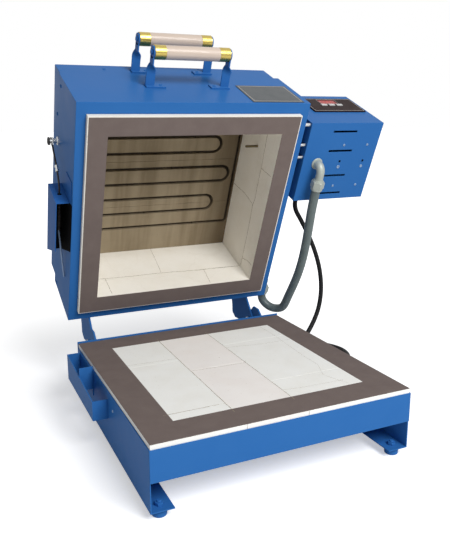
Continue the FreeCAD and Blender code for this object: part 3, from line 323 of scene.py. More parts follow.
def newGroup(name, inputs, outputs):
    # The tree, its inputs and the node that takes its outputs.
    tree = bpy.data.node_groups.new(name, "ShaderNodeTree")
    for label, value in inputs.items():
        socket = tree.interface.new_socket(name=label, in_out="INPUT", socket_type="NodeSocketFloat")
        socket.default_value = value
    for label in outputs:
        tree.interface.new_socket(name=label, in_out="OUTPUT", socket_type="NodeSocketFloat")
    return tree, tree.nodes.new("NodeGroupInput").outputs, tree.nodes.new("NodeGroupOutput")


def addNode(tree, kind, output, inputs=None, **settings):
    # Adds a node with its inputs and gives one of its outputs.
    node = tree.nodes.new("ShaderNode" + kind)
    for name, value in settings.items():
        setattr(node, name, value)
    setInputs(node, inputs or {})
    return node.outputs[output]


def cloudGroup(name, defaults, look, mappings=()):
    # Noise through its mappings, cut between Low and High.
    tree, given, out = newGroup(name, defaults, ["Mask"])
    where = addNode(tree, "TexCoord", "Object")
    for mapping in mappings:
        where = addNode(tree, "Mapping", "Vector", {"Vector": where, **mapping})
    cloud = addNode(tree, "TexNoise", "Fac", {"Vector": where, "Scale": given["Scale"], **look})
    span = {"Value": cloud, "From Min": given["Low"], "From Max": given["High"]}
    setInputs(out, {"Mask": addNode(tree, "MapRange", "Result", span)})
    return tree


def poreGroup():
    # Open pores and crumbly grain of insulating brick or cement.
    tree, given, out = newGroup("pores", {"Scale": 420, "Open": 0.16, "Grain": 0.4}, ["Mask", "Height"])
    place = {"Vector": addNode(tree, "TexCoord", "Object"), "Scale": given["Scale"]}
    cells = addNode(tree, "TexVoronoi", "Distance", place)
    span = {"Value": cells, "From Min": 0.02, "From Max": given["Open"], "To Min": 1, "To Max": 0}
    edge = addNode(tree, "MapRange", "Result", span)
    grain = addNode(tree, "TexNoise", "Fac", {**place, "Detail": 4})
    share = addNode(tree, "Math", 0, {0: grain, 1: given["Grain"]}, operation="MULTIPLY")
    height = addNode(tree, "Math", 0, {0: share, 1: edge}, operation="SUBTRACT")
    setInputs(out, {"Mask": edge, "Height": height})
    return tree


def veinGroup():
    # Hairline cracks that wander over the brick.
    tree, given, out = newGroup("veins", {"Scale": 7, "Width": 0.02, "Bend": 0.25}, ["Mask"])
    where = addNode(tree, "TexCoord", "Object")
    cloud = addNode(tree, "TexNoise", "Color", {"Vector": where, "Scale": 9, "Detail": 4})
    shift = addNode(tree, "VectorMath", 0, {0: cloud, "Scale": given["Bend"]}, operation="SCALE")
    moved = addNode(tree, "VectorMath", 0, {0: where, 1: shift})
    place = {"Vector": moved, "Scale": given["Scale"]}
    gap = addNode(tree, "TexVoronoi", "Distance", place, feature="DISTANCE_TO_EDGE")
    span = {"Value": gap, "From Max": given["Width"], "To Min": 1, "To Max": 0}
    setInputs(out, {"Mask": addNode(tree, "MapRange", "Result", span)})
    return tree


rimTurn = (radians(-lidSwing["angle"]), 0, 0)
groups = {
    # Soft blotches of any size: dust, stains, uneven firing
    "mottle": cloudGroup(
        "mottle", {"Scale": 12, "Low": 0.45, "High": 0.7}, {"Detail": 5, "Roughness": 0.6}
    ),
    "pores": poreGroup(),
    "veins": veinGroup(),
    # Soft streaks that run from the front to the hinge of the open lid
    "streaks": cloudGroup(
        "streaks",
        {"Scale": 5, "Low": 0.4, "High": 0.7},
        {"Detail": 4},
        [{"Rotation": rimTurn}, {"Scale": (9, 0.7, 5)}],
    ),
}


# Finishes


def colour(red, green, blue):
    # A screen colour, 0 to 255, as the linear value that the shader takes.
    linear = []
    for part in (red, green, blue):
        share = part / 255
        linear.append(share / 12.92 if share <= 0.04045 else ((share + 0.055) / 1.055) ** 2.4)
    return (*linear, 1)


def newFinish(name, base, roughness, metallic=0.0, coat=0.0, specular=0.5):
    finish = bpy.data.materials.new(name)
    finish.use_nodes = True
    shader = finish.node_tree.nodes["Principled BSDF"]
    values = {"Base Color": base, "Roughness": roughness, "Metallic": metallic, "Coat Weight": coat}
    setInputs(shader, {**values, "Specular IOR Level": specular})
    finish.diffuse_color = base
    return finish, shader


def spread(tree, group, **values):
    # A shared group with its values, as its outputs.
    node = tree.nodes.new("ShaderNodeGroup")
    node.node_tree = groups[group]
    setInputs(node, values)
    return node.outputs


def mottled(tree, look):
    return spread(tree, "mottle", Scale=look[0], Low=look[1], High=look[2])["Mask"]


def tint(tree, mask, first, second, share):
    # Mixes from the first colour towards the second where the mask is high.
    colourA, colourB, colourOut = 6, 7, 2
    strength = addNode(tree, "Math", 0, {0: mask, 1: share}, operation="MULTIPLY")
    mix = {"Factor": strength, colourA: first, colourB: second}
    return addNode(tree, "Mix", colourOut, mix, data_type="RGBA")


def reachTo(tree, mask, low, high):
    return addNode(tree, "MapRange", "Result", {"Value": mask, "To Min": low, "To Max": high})


def bumpFrom(tree, height, strength, distance):
    return addNode(tree, "Bump", "Normal", {"Height": height, "Strength": strength, "Distance": distance})


# Each surface's blotches and grain as scale, low and high, its share of the second colour, the
# roughness that the blotches add and its bump's strength, with the grain's depth in metres
surfaceLook = {
    "paint": {"rub": (9, 0.42, 0.8), "grain": (320, 0.2, 0.8), "share": 0.3, "dull": 0.1, "bump": 0.1},
    "metal": {"rub": (60, 0.4, 0.75), "grain": (600, 0.3, 0.7), "share": 0.4, "dull": 0.2, "bump": 0.08},
    "plastic": {"rub": (40, 0.42, 0.8), "grain": (700, 0.3, 0.7), "share": 0.3, "dull": 0.12, "bump": 0.12},
}
grainDepth = {"paint": 0.0002, "metal": 0.0002, "plastic": 0.0003}


def surfaceFinish(kind, name, base, worn, roughness, **more):
    # Paint, metal or plastic: a little worn or dusty in blotches, over a fine grain.
    look = surfaceLook[kind]
    base, worn = colour(*base), colour(*worn)
    finish, shader = newFinish(name, base, roughness, **more)
    tree = finish.node_tree
    rub = mottled(tree, look["rub"])
    values = {
        "Base Color": tint(tree, rub, base, worn, look["share"]),
        "Roughness": reachTo(tree, rub, roughness, roughness + look["dull"]),
        "Normal": bumpFrom(tree, mottled(tree, look["grain"]), look["bump"], grainDepth[kind]),
    }
    setInputs(shader, values)
    return finish


def brickFinish(name, base, stain, specks, look):
    # Insulating fire brick: open pores, soft stains, fired streaks and a few hairline cracks.
    base, stain, specks = colour(*base), colour(*stain), colour(*specks)
    finish, shader = newFinish(name, base, 0.95, specular=0.15)
    tree, plan = finish.node_tree, brickLook[look]
    pores = spread(tree, "pores", Scale=plan["poreScale"], Open=plan["poreOpen"], Grain=0.5)
    streak = spread(tree, "streaks", Scale=5, Low=0.38, High=0.68)["Mask"]
    crack = spread(tree, "veins", Scale=7, Width=0.014, Bend=0.12)["Mask"]
    dot = spread(tree, "pores", Scale=90, Open=0.1, Grain=0)["Mask"]
    toned = tint(tree, mottled(tree, (14, 0.4, 0.75)), base, stain, plan["stain"])
    for layer, second, share in ((streak, stain, "streak"), (crack, specks, "crack"), (dot, specks, "dots")):
        toned = tint(tree, layer, toned, second, plan[share])
    if look == "roof":
        # Painted shade: darker towards the right wall, in the shaded corner by the return run.
        where = addNode(tree, "SeparateXYZ", "X", {0: addNode(tree, "TexCoord", "Object")})
        span = {"Value": where, **roofShadeSpan}
        rightWallShade = addNode(tree, "MapRange", "Result", span, interpolation_type="SMOOTHSTEP")
        toned = tint(tree, rightWallShade, toned, specks, 0.75)
    # Painted shade: the pores darkened towards the specks' colour, beside their bump
    poreShaded = tint(tree, pores["Mask"], toned, specks, 0.3)
    setInputs(shader, {"Base Color": poreShaded, "Normal": bumpFrom(tree, pores["Height"], 0.4, 0.0005)})
    return finish


def cementFinish(name, base, light):
    base, light = colour(*base), colour(*light)
    finish, shader = newFinish(name, base, 0.86, specular=0.25)
    tree = finish.node_tree
    grain = spread(tree, "pores", Scale=620, Open=0.12, Grain=0.8)
    toned = tint(tree, mottled(tree, (30, 0.35, 0.75)), base, light, 0.4)
    setInputs(shader, {"Base Color": toned, "Normal": bumpFrom(tree, grain["Height"], 0.45, 0.0004)})
    return finish


def woodFinish(name, base, grain):
    # Pale hardwood with its grain along X under a thin lacquer.
    base, grain = colour(*base), colour(*grain)
    finish, shader = newFinish(name, base, 0.45, coat=0.2)
    tree = finish.node_tree
    where = addNode(tree, "TexCoord", "Object")
    stretch = addNode(tree, "Mapping", "Vector", {"Vector": where, "Scale": (6, 160, 160)})
    fibre = addNode(tree, "TexNoise", "Fac", {"Vector": stretch, "Scale": 2, "Detail": 6})
    toned = tint(tree, reachTo(tree, fibre, -0.4, 1.4), base, grain, 0.6)
    setInputs(shader, {"Base Color": toned, "Normal": bumpFrom(tree, fibre, 0.1, 0.0003)})
    return finish


brickLook = {
    "floor": {"poreScale": 420, "poreOpen": 0.16, "stain": 0.5, "streak": 0.0, "crack": 0.0, "dots": 0.5},
    "wall": {"poreScale": 380, "poreOpen": 0.2, "stain": 0.5, "streak": 0.1, "crack": 0.06, "dots": 0.25},
    "roof": {"poreScale": 380, "poreOpen": 0.22, "stain": 0.35, "streak": 0.7, "crack": 0.0, "dots": 0.3},
}
# Painted shade on the roof grows over this span
roofShadeSpan = {"From Min": 0.1, "From Max": 0.2}  # metres to the right, where the roof darkens

# Each brick's name, colour, stain, specks and look
bricks = {
    "fire_brick": ("whiteBrick", (246, 246, 242), (236, 234, 226), (176, 168, 150), "floor"),
    "lid_brick": ("creamBrick", (240, 236, 227), (228, 221, 207), (172, 156, 130), "wall"),
    # The roof brick's darker colour is partly its firing and partly painted shade for the shaded roof of the
    # chamber
    "roof_brick": ("firedAndShadedBrick", (158, 144, 120), (122, 108, 86), (86, 72, 54), "roof"),
    "middle_brick": ("warmBrick", (246, 242, 238), (238, 230, 224), (176, 164, 148), "floor"),
    "blanket": ("whiteFibre", (240, 240, 236), (228, 228, 222), (205, 205, 198), "wall"),
}

# Each surface's kind, name, colour, worn colour, roughness and further values
surfaces = {
    "blue_steel": ("paint", "blueEnamel", (46, 105, 172), (60, 115, 178), 0.38, {"specular": 0.06}),
    "guard_steel": ("paint", "guardEnamel", (40, 98, 170), (56, 108, 174), 0.38, {"specular": 0.06}),
    "element_wire": ("metal", "firedWire", (70, 60, 48), (40, 34, 28), 0.6, {"metallic": 0.5}),
    "bright_steel": ("metal", "zincSteel", (215, 216, 215), (160, 162, 160), 0.25, {"metallic": 1}),
    "ferrule_brass": ("metal", "ferruleBrass", (206, 184, 104), (164, 140, 66), 0.26, {"metallic": 1}),
    "elbow_alloy": ("metal", "castAlloy", (178, 184, 176), (150, 158, 150), 0.42, {"metallic": 0.25}),
    "spring_dark": ("metal", "springSteel", (58, 56, 56), (34, 32, 32), 0.4, {"metallic": 1}),
    "dull_head": ("metal", "dullHead", (150, 172, 198), (96, 126, 166), 0.4, {"metallic": 0.5}),
    "probe_sheath": ("metal", "firedSheath", (112, 100, 72), (70, 60, 42), 0.6, {"metallic": 0.3}),
    "conduit_skin": ("plastic", "conduitSheath", (96, 108, 108), (122, 132, 130), 0.38, {}),
    "black_plastic": ("plastic", "blackPlastic", (22, 22, 23), (44, 44, 46), 0.4, {}),
    "cord_rubber": ("plastic", "cordRubber", (14, 14, 15), (28, 28, 30), 0.6, {"specular": 0.3}),
    "plate_dark": ("plastic", "printedFace", (44, 32, 32), (54, 40, 38), 0.45, {"specular": 0.05}),
    "plate_label": ("plastic", "barePlate", (76, 80, 82), (92, 96, 98), 0.36, {"specular": 0.2}),
    "display_red": ("plastic", "displayWindow", (146, 44, 46), (120, 34, 36), 0.3, {"specular": 0.3}),
    "button_grey": ("plastic", "keyGrey", (205, 205, 205), (180, 180, 180), 0.4, {}),
    "trim_light": ("plastic", "lightTrim", (176, 170, 166), (196, 190, 186), 0.4, {}),
    "digit_red": ("plastic", "litDigits", (226, 92, 84), (236, 110, 98), 0.4, {}),
    # Matte black: worn by the guard's sheets of painted shade and by two dark screw heads
    "matte_black": ("plastic", "blackLining", (8, 8, 10), (14, 14, 16), 0.9, {"specular": 0.1}),
    "joint_dust": ("plastic", "jointDust", (158, 148, 128), (128, 116, 96), 0.95, {"specular": 0.1}),
    "joint_fired": ("plastic", "firedDust", (132, 116, 90), (98, 84, 62), 0.95, {"specular": 0.1}),
}

finishes = {
    "rim_cement": cementFinish("brownCement", (108, 96, 92), (124, 112, 107)),
    "grip_wood": woodFinish("paleMaple", (208, 192, 178), (186, 164, 146)),
}
for slot, brick in bricks.items():
    finishes[slot] = brickFinish(*brick)
for slot, (*surface, more) in surfaces.items():
    finishes[slot] = surfaceFinish(*surface, **more)

nodeSlots = {}
for part in frame["record"]["subparts"]:
    nodeSlots[part["node"]] = part.get("material_slot") or part.get("material")
print("finishes made:", len(finishes))


def wear(piece, finish):
    piece.data.materials.clear()
    piece.data.materials.append(finishes[finish])
    return piece


def dress(build, name, body, finish, node=None, bevel=0.0, smooth=35):
    # Makes the piece, puts the finish on it and hides the CAD node that it stands for, if one is given.
    piece = wear(finished(name, build, body, bevel, smooth), finish)
    if node:
        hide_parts(node)
    return piece


for name, node in nodes.items():
    slot = nodeSlots.get(name)
    if name.startswith("roof_bricks"):
        slot = "roof_brick"
    wear(node, slot if slot in finishes else "blue_steel")
wear(nodes["pull_rod"], "dull_head")
wear(powerCord, "cord_rubber")


# Steel with folded edges

steelPlan = {
    "lid_casing": 1.2, "roof_cap": 1.2, "control_box": 1.2, "vent_panel": 0.5,
    "front_band": 0.8, "rear_band": 0.8,
    "side_skirt_left": 0.6, "side_skirt_right": 0.6, "side_bracket": 0.6, "spring_guard": 0.5,
    "hinge_ear_left": 0.5, "hinge_ear_right": 0.5, "hinge_arm_left": 0.5, "hinge_arm_right": 0.5,
    "hinge_pins": 0.8,
    "handle_grip_front": 1.2, "handle_grip_rear": 1.2, "handle_ferrules": 0.3, "handle_rods": 0.9,
    "nameplate": 0.4, "controller_plate": 0.6,
}

for name, width in steelPlan.items():
    wear(softened(name, width), nodeSlots[name])
print("steel softened")


# Bricks with worn edges

wallBricks = [f"{side}_wall_bricks" for side in ("front", "hinge", "left", "right")]
for name in ["base_bricks_left", "base_bricks_middle", "base_bricks_right"] + wallBricks:
    finish = "middle_brick" if name == "base_bricks_middle" else nodeSlots[name]
    wear(softened(name, 0.5), finish)
print("bricks softened")


# Crumbly dust in the dry joints: ribbons that wander along each joint, a few specks beside them

seamPlan = {
    "floor": [
        (1.0, [(-85, 203), (-85, -203)]),
        (0.9, [(35, 203), (35, -203)]),
        (0.6, [(-202, -165), (-86, -164)]),
        (0.35, [(-200, 79), (-86, 73)]),
        (0.6, [(-84, -2), (-23, -6), (34, -8)]),
        (0.3, [(36, 89), (114, 78), (190, 77)]),
        (0.35, [(36, -158), (77, -163), (164, -166)]),
        (0.35, [(171, 190), (171, 103), (163, -20), (163, -82), (143, -129), (164, -183)]),
    ],
    "side": [
        (
            1.0,
            [(-462, 53.5), (-357, 47), (-304, 47.5), (-267, 46)]
            + [(-249, 51.5), (-218, 49), (-161, 47.5), (-72, 47)],
        ),
        (0.9, [(-250, 165), (-252, 140), (-256, 99), (-251, 52)]),
        (0.8, [(-352, 46), (-355, -4)]),
        (0.9, [(-95, 46), (-104, 20), (-107, -5)]),
    ],
    "hinge": [
        (1.0, [(-197, 59), (-93, 56), (-22, 57), (81, 53), (127, 53.5), (197, 52)]),
        (0.6, [(-12, 167), (-15, 108), (-18, 58)]),
        (0.7, [(95, 52), (90, -4)]),
        (0.7, [(-161, 58), (-160, -3)]),
    ],
    "specks": {
        "floor": [(-3, 41, 2.4), (39, 0, 2.2), (37, -119, 2.0), (40, -166, 1.8), (179, 175, 1.8)],
        "side": [(-249, 51, 3.0), (-389, 50, 1.8), (-106, -2, 2.6)],
    },
    "width": 1.5,
    "proud": 0.1,
    "sunk": -0.2,
    "step": 3.5,
    "sway": 0.9,
    "swayPitch": (0.09, 0.02, 0.02),
    "swellPitch": 0.17,
    "halfWidth": (0.32, 0.5),
}


def addSeam(build, points, width, place, onFace):
    # A low ribbon along the points, whose course and width wander.
    plan = seamPlan
    least, swell = plan["halfWidth"]
    profile = ((-1, plan["sunk"]), (-0.6, plan["proud"]), (0.6, plan["proud"]), (1, plan["sunk"]))
    rings = []
    run = 0.0
    for a, b in zip(points, points[1:]):
        a, b = Vector(a), Vector(b)
        along = (b - a).normalized()
        across = Vector((-along.y, along.x))
        count = max(int((b - a).length / plan["step"]), 1)
        for i in range(count + (b == Vector(points[-1]))):
            spot = a + (b - a) * (i / count)
            here = run + (b - a).length * i / count
            pitch = zip((here, *spot), plan["swayPitch"])
            sway = noise.noise(Vector([value * share for value, share in pitch])) * plan["sway"]
            half = width * (least + swell * abs(noise.noise(Vector((here * plan["swellPitch"], 7.3, width)))))
            middle = spot + across * sway
            rings.append([place @ onFace(middle + across * side * half, rise) for side, rise in profile])
        run += (b - a).length
    addRings(build, rings)


def addSpeck(build, spot, size, place, onFace):
    rings = []
    for share, rise in ((1.0, -0.2), (0.8, 0.1), (0.3, 0.16)):
        ring = []
        for angle in turnsOf(9):
            reach = size / 2 * share * (0.75 + 0.25 * sin(3 * angle + spot[0]))
            edge = Vector(spot) + Vector((cos(angle), sin(angle))) * reach
            ring.append(place @ onFace(edge, rise))
        rings.append(ring)
    addRings(build, rings)


def makeSeams(plan):
    faces = {
        "floor": ("base", onBase, lambda p, rise: Vector((p.x, p.y, 136 + rise))),
        "side": ("lid", onLid, lambda p, rise: Vector((197 - rise, p.x, p.y))),
        "hinge": ("lid", onLid, lambda p, rise: Vector((p.x, -66.5 - rise, p.y))),
    }
    for name, (body, place, onFace) in faces.items():
        build = bmesh.new()
        for width, points in plan[name]:
            addSeam(build, points, width * plan["width"], place, onFace)
        for x, y, size in plan["specks"].get(name, []):
            addSpeck(build, (x, y), size, place, onFace)
        dress(build, name + "Seams", body, "joint_dust" if name == "floor" else "joint_fired")


makeSeams(seamPlan)
print("seams made")


# Heating element: one wound wire along the serpentine in the roof

elementPlan = {
    "coilRadius": 2.6, "wireRadius": 0.55, "pitch": 2.6, "rows": 7,
    "rowPitch": 40.5, "firstRow": -137.5, "depth": 172.6, "left": -170,
    "short": 142, "far": 175, "back": 190, "corner": 8,
}


def elementLine(plan):
    # The centre line in the lid's millimetres, as close points.
    bend, back, corner = plan["rowPitch"] / 2, plan["back"], plan["corner"]
    rows = [plan["firstRow"] - plan["rowPitch"] * i for i in range(plan["rows"])]
    ends = [plan["left"] + bend, plan["short"] - bend] * 3
    ends[3] = plan["far"] - bend
    line = [(back, rows[-1] - corner), (back, rows[0] - corner)]
    for i in range(1, 7):
        angle = pi / 2 * i / 6
        line.append((back - corner * (1 - cos(angle)), rows[0] - corner * (1 - sin(angle))))
    for i, x in enumerate(ends):
        line.append((x, rows[i]))
        side = -1 if i % 2 == 0 else 1
        for step in range(1, 16):
            angle = pi * step / 15
            line.append((x + side * bend * sin(angle), rows[i] - bend * (1 - cos(angle))))
    line.append((plan["left"] + bend, rows[-1]))
    return [Vector((x, y, plan["depth"])) for x, y in line]


def wound(line, radius, pitch, steps):
    # A helix of this radius and pitch round a line of points.
    points = []
    turned = 0.0
    for a, b in zip(line, line[1:]):
        along = (b - a).normalized()
        side = along.cross(Vector((0, 0, 1))).normalized()
        length = (b - a).length
        count = max(1, round(length / pitch * steps))
        for k in range(count):
            angle = turned + tau * length / pitch * k / count
            centre = a + along * length * k / count
            points.append(centre + side * radius * cos(angle) + Vector((0, 0, radius * sin(angle))))
        turned += tau * length / pitch
    return points


def makeElement(plan):
    path = wound(elementLine(plan), plan["coilRadius"], plan["pitch"], 9)
    build = bmesh.new()
    tubeAlong(build, [onLid @ p for p in path], plan["wireRadius"] / 1000, 4)
    dress(build, "elementCoil", "lid", "element_wire", node="heating_element")


makeElement(elementPlan)


# Wire pins that hold the coil in its groove beside the right wall and along the rows

pinPlan = {
    "wall": [(190, -341), (190, -258), (190, -197)],
    "rows": [(96, -137.5), (-40, -178), (60, -218.5), (-90, -259), (20, -299.5), (-60, -340), (70, -380.5)],
    "wire": 0.7,
    "half": 3.0,
    "rise": 169.2,
}


def makePins(plan):
    # Each pin is a staple across the coil.
    build = bmesh.new()
    wide, long, deep = Vector((1, 0, 0)), Vector((0, 1, 0)), Vector((0, 0, 1))
    for spots, side, along in ((plan["wall"], wide, long), (plan["rows"], long, wide)):
        for spot in spots:
            path = []
            for i in range(13):
                angle = pi * i / 12
                low = Vector((*spot, plan["rise"])) + side * plan["half"] * cos(angle)
                bend = deep * sin(angle) ** 0.6 * 1.4
                path.append(onLid @ (low - bend + along * 0.6 * sin(angle * 2)))
            tubeAlong(build, path, plan["wire"] / 1000, 6)
    dress(build, "coilPins", "lid", "element_wire")


makePins(pinPlan)
print("element wound")


# Handle straps

strapPlan = {
    "span": 172,
    "width": 20,
    "thick": 3.2,
    "blade": 30,
    "twist": 18,
    "rise": 72,
    "eye": 13,
    "foot": 24,
    "front": {"height": 90, "wall": -531},
    "rear": {"height": 194, "wall": -526.5},
}


def addStrap(build, plan, side, height, wall):
    x = side * plan["span"] / 2
    width, thick = plan["width"] / 2, plan["thick"] / 2
    bladeEnd = wall - plan["blade"]
    twistEnd = bladeEnd - plan["twist"]
    grip = wall - plan["rise"]
    stations = [(wall, 0.0), (bladeEnd, 0.0)]
    stations += [(bladeEnd - plan["twist"] * i / 12, 90 * i / 12) for i in range(1, 12)]
    stations += [(twistEnd, 90.0), (grip + plan["eye"] * 0.6, 90.0)]
    rings = []
    for y, degrees in stations:
        turn = Matrix.Rotation(radians(degrees), 3, "Y")
        ring = []
        for a, b in ((-width, -thick), (width, -thick), (width, thick), (-width, thick)):
            ring.append(onLid @ (Vector((x, y, height)) + turn @ Vector((a, 0, b))))
        rings.append(ring)
    addRings(build, rings)
    eye = [(-thick, plan["eye"]), (thick, plan["eye"])]
    turned(build, eye, (x, grip, height), (1, 0, 0), onLid, 32)
    low, high = sorted([x + side * width, x - side * (plan["foot"] + width)])
    addBox(build, (low, wall - plan["thick"], height - width), (high, wall, height + width), onLid)


def makeStraps(plan):
    for name in ("front", "rear"):
        build = bmesh.new()
        for side in (-1, 1):
            addStrap(build, plan, side, plan[name]["height"], plan[name]["wall"])
        dress(build, name + "Straps", "lid", "blue_steel", node="handle_straps_" + name, bevel=0.5, smooth=40)


makeStraps(strapPlan)
print("straps made")


# Assist spring

springPlan = {"x": -274.5, "rise": 58.05, "top": -290, "length": 76, "radius": 6.4, "wire": 1.5, "pitch": 3.7}


def makeSpring(plan):
    line = [Vector((plan["x"], plan["top"] + 2, plan["rise"]))]
    line.append(Vector((plan["x"], plan["top"] + plan["length"] - 2, plan["rise"])))
    path = wound(line, plan["radius"], plan["pitch"], 16)
    build = bmesh.new()
    tubeAlong(build, [onLid @ p for p in path], plan["wire"] / 1000, 8)
    dress(build, "assistSpring", "lid", "spring_dark", node="lid_spring")


makeSpring(springPlan)
print("spring wound")


# Screws: domed heads with a cross recess

# Rows of heads by the axis that they point along, the face, the spots on it and the radius
screwPlan = {
    "painted": [
        ("Y", -534.2, [(-62, 90), (62, 90)], 4.0),
        ("Y", -529.7, [(-62, 194), (62, 194)], 4.0),
        ("Y", -526.5, [(-153, 205.2), (153, 205.2)], 4.0),
        ("X", -259.5, [(-510, 140), (-10.5, 140)], 4.0),
        ("X", -255.0, [(-430.1, 190), (-122.1, 190)], 4.0),
    ],
    "bright": [
        ("Z", 0.0, [(379.5, -429), (446.5, -429)], 3.2),
        ("Z", 0.0, [(379.5, -372)], 4.4),
        ("Z", 0.0, [(446.5, -372)], 4.0),
        ("Z", 0.0, [(379.5, -321), (446.5, -321)], 3.2),
    ],
    "dark": [("Z", 0.0, [(379.5, -387), (446.5, -387)], 2.8)],
    "skirt": (-256, (-40, 100), 2.8, 1.6),
    "height": 2.0,
    "slot": 0.22,
}
screwSlots = {"painted": "blue_steel", "bright": "dull_head", "dark": "matte_black"}


def headFrame(axis, face, spot):
    # A frame whose Z points out of the wall that carries the head.
    if axis == "Y":
        return Matrix.Translation((spot[0], face, spot[1])) @ Matrix.Rotation(radians(90), 4, "X")
    if axis == "X":
        return Matrix.Translation((face, *spot)) @ Matrix.Rotation(radians(-90), 4, "Y")
    return Matrix.Translation((*spot, face)) @ Matrix.Rotation(radians(180), 4, "X")


def addScrew(build, where, radius, height, slot):
    # A dome whose middle is sunk along a cross.
    turns = turnsOf(32)
    rings = [[where @ Vector((radius * cos(t), radius * sin(t), -0.4)) for t in turns]]
    for share in (1.0, 0.97, 0.86, 0.7, 0.52, 0.36, 0.2, 0.05):
        rise = height * sqrt(max(1 - share ** 2.2, 0))
        ring = []
        for angle in turns:
            x, y = radius * share * cos(angle), radius * share * sin(angle)
            inCross = share < 0.72 and min(abs(x), abs(y)) < slot * radius
            ring.append(where @ Vector((x, y, rise * (0.45 if inCross else 1))))
        rings.append(ring)
    addRings(build, rings)


def makeScrews(plan):
    for kind, slot in screwSlots.items():
        build = bmesh.new()
        for axis, face, spots, radius in plan[kind]:
            for spot in spots:
                addScrew(build, onLid @ headFrame(axis, face, spot), radius, plan["height"], plan["slot"])
        painted = kind == "painted"
        dress(build, kind + "Screws", "lid", slot, "lid_screws" if painted else None)
    build = bmesh.new()
    side, spot, radius, height = plan["skirt"]
    addScrew(build, onBase @ headFrame("X", side, spot), radius, height, plan["slot"])
    dress(build, "skirtScrews", "base", "dull_head")


makeScrews(screwPlan)
print("screws made")


# Elbow connectors and the flexible conduit between them

elbowPlan = {
    "box_elbow": {"mouth": (316, -383, 0), "out": (0, 0, -1), "turn": (0, 1, 0)},
    "lid_elbow": {"mouth": (259.5, -25, 51), "out": (1, 0, 0), "turn": (0, 1, 0)},
    "reach": 24,
    "bend": 17,
    "pipe": 9.6,
    "boss": 10.8,
    "flange": 14.2,
    "nutStart": 33.5,
    "nutLength": 19,
    "nutRadius": 16.5,
    "collar": 14.3,
    "end": 58.5,
}


def hexRings(build, origin, along, across, stations, place):
    # A six-sided body through (step, limit, radius) stations, where a limit under 1 cuts the corners.
    other = along.cross(across)
    rings = []
    for step, limit, radius in stations:
        ring = []
        for angle in turnsOf(48):
            flat = cos(pi / 6) / cos((angle % (pi / 3)) - pi / 6)
            reach = (across * cos(angle) + other * sin(angle)) * radius * min(flat, limit)
            ring.append(place @ (Vector(origin) + along * step + reach))
        rings.append(ring)
    addRings(build, rings)


def hexNut(build, origin, along, start, end, radius, spin=0.0):
    # A nut with both ends chamfered.
    along = Vector(along).normalized()
    across = Matrix.Rotation(spin, 3, along) @ along.orthogonal().normalized()
    chamfer = radius * 0.14
    steps = ((start, 0.86), (start + chamfer, 1.0), (end - chamfer, 1.0), (end, 0.84))
    hexRings(build, origin, along, across, [(*step, radius) for step in steps], onLid)


def makeElbow(node, plan):
    # A flanged boss, a quarter bend that narrows, and the nut with its shoulder and collar.
    spot = plan[node]
    mouth, out, turn = Vector(spot["mouth"]), Vector(spot["out"]), Vector(spot["turn"])
    reach, bend, pipe, boss = plan["reach"], plan["bend"], plan["pipe"], plan["boss"]
    wide, nut = plan["flange"], plan["nutStart"]
    build = bmesh.new()
    flange = [(-0.2, 0), (-0.2, wide), (1.6, wide), (2.8, wide * 0.93), (3.2, boss), (3.2, 0)]
    turned(build, flange, mouth, out, onLid, 48)
    path = [mouth, mouth + out * (reach - bend) * 0.6]
    radii = [boss, boss]
    for i in range(13):
        angle = pi / 2 * i / 12
        point = mouth + out * (reach - bend * (1 - sin(angle)))
        path.append(point + turn * bend * (1 - cos(angle)))
        radii.append(boss + (pipe - boss) * i / 12)
    path.append(mouth + out * reach + turn * (nut + 1))
    radii.append(pipe)
    rings = []
    side = out.cross(turn).normalized()
    for i, point in enumerate(path):
        along = (path[min(i + 1, len(path) - 1)] - path[max(i - 1, 0)]).normalized()
        rings.append(ringRound(point, side, along.cross(side), radii[i], 28, onLid))
    addRings(build, rings)
    axis = mouth + out * reach
    nutEnd, end, collar = nut + plan["nutLength"], plan["end"], plan["collar"]
    shoulder = [(nut - 3, 0), (nut - 3, pipe * 1.22), (nut + 1, 12.6), (nut + 1, 0)]
    turned(build, shoulder, axis, turn, onLid)
    hexNut(build, axis, turn, nut, nutEnd, plan["nutRadius"], 0.35)
    cuff = [(nutEnd - 0.5, 0), (nutEnd - 0.5, collar), (nutEnd + 3.6, collar), (end, 12.2), (end, 0)]
    turned(build, cuff, axis, turn, onLid)
    dress(build, node + "Piece", "lid", "elbow_alloy", node=node, bevel=0.3, smooth=32)


conduitPlan = {
    "start": (316, -323.9, -24),
    "end": (283.5, 24.1, 51),
    "run": 348,
    "shares": [
        (0.003, 0.128, -0.003), (0.014, 0.266, -0.010), (0.029, 0.415, -0.011), (0.040, 0.565, -0.009),
        (0.043, 0.703, 0.000), (0.040, 0.829, 0.017), (0.034, 0.950, 0.037), (0.032, 1.062, 0.055),
        (0.009, 1.103, 0.086), (-0.030, 1.123, 0.135), (-0.069, 1.104, 0.184), (-0.092, 1.062, 0.216),
    ],
    "radius": 11,
}


def makeConduit(plan):
    start, end = Vector(plan["start"]), Vector(plan["end"])
    points = [start] + [start + Vector(share) * plan["run"] for share in plan["shares"]] + [end]
    path = splinePoints([onLid @ p for p in points], 12)
    build = bmesh.new()
    tubeAlong(build, path, plan["radius"] / 1000, 28)
    dress(build, "conduitPiece", "lid", "conduit_skin", node="conduit")


makeElbow("box_elbow", elbowPlan)
makeElbow("lid_elbow", elbowPlan)
makeConduit(conduitPlan)
print("elbows and conduit made")


# Cord gland and its strain relief on the back of the control box

glandPlan = {
    "axis": (338, -284, 80),
    "nut": (0, 7.5, 15),
    "dome": [(7.0, 0), (7.0, 13.2), (9.5, 13.0), (11.4, 11.8), (12, 10.8), (12, 0)],
    "relief": (13, 28.4, 10.4, 3.3),
    "ribs": 7,
    "ribDepth": 0.9,
}


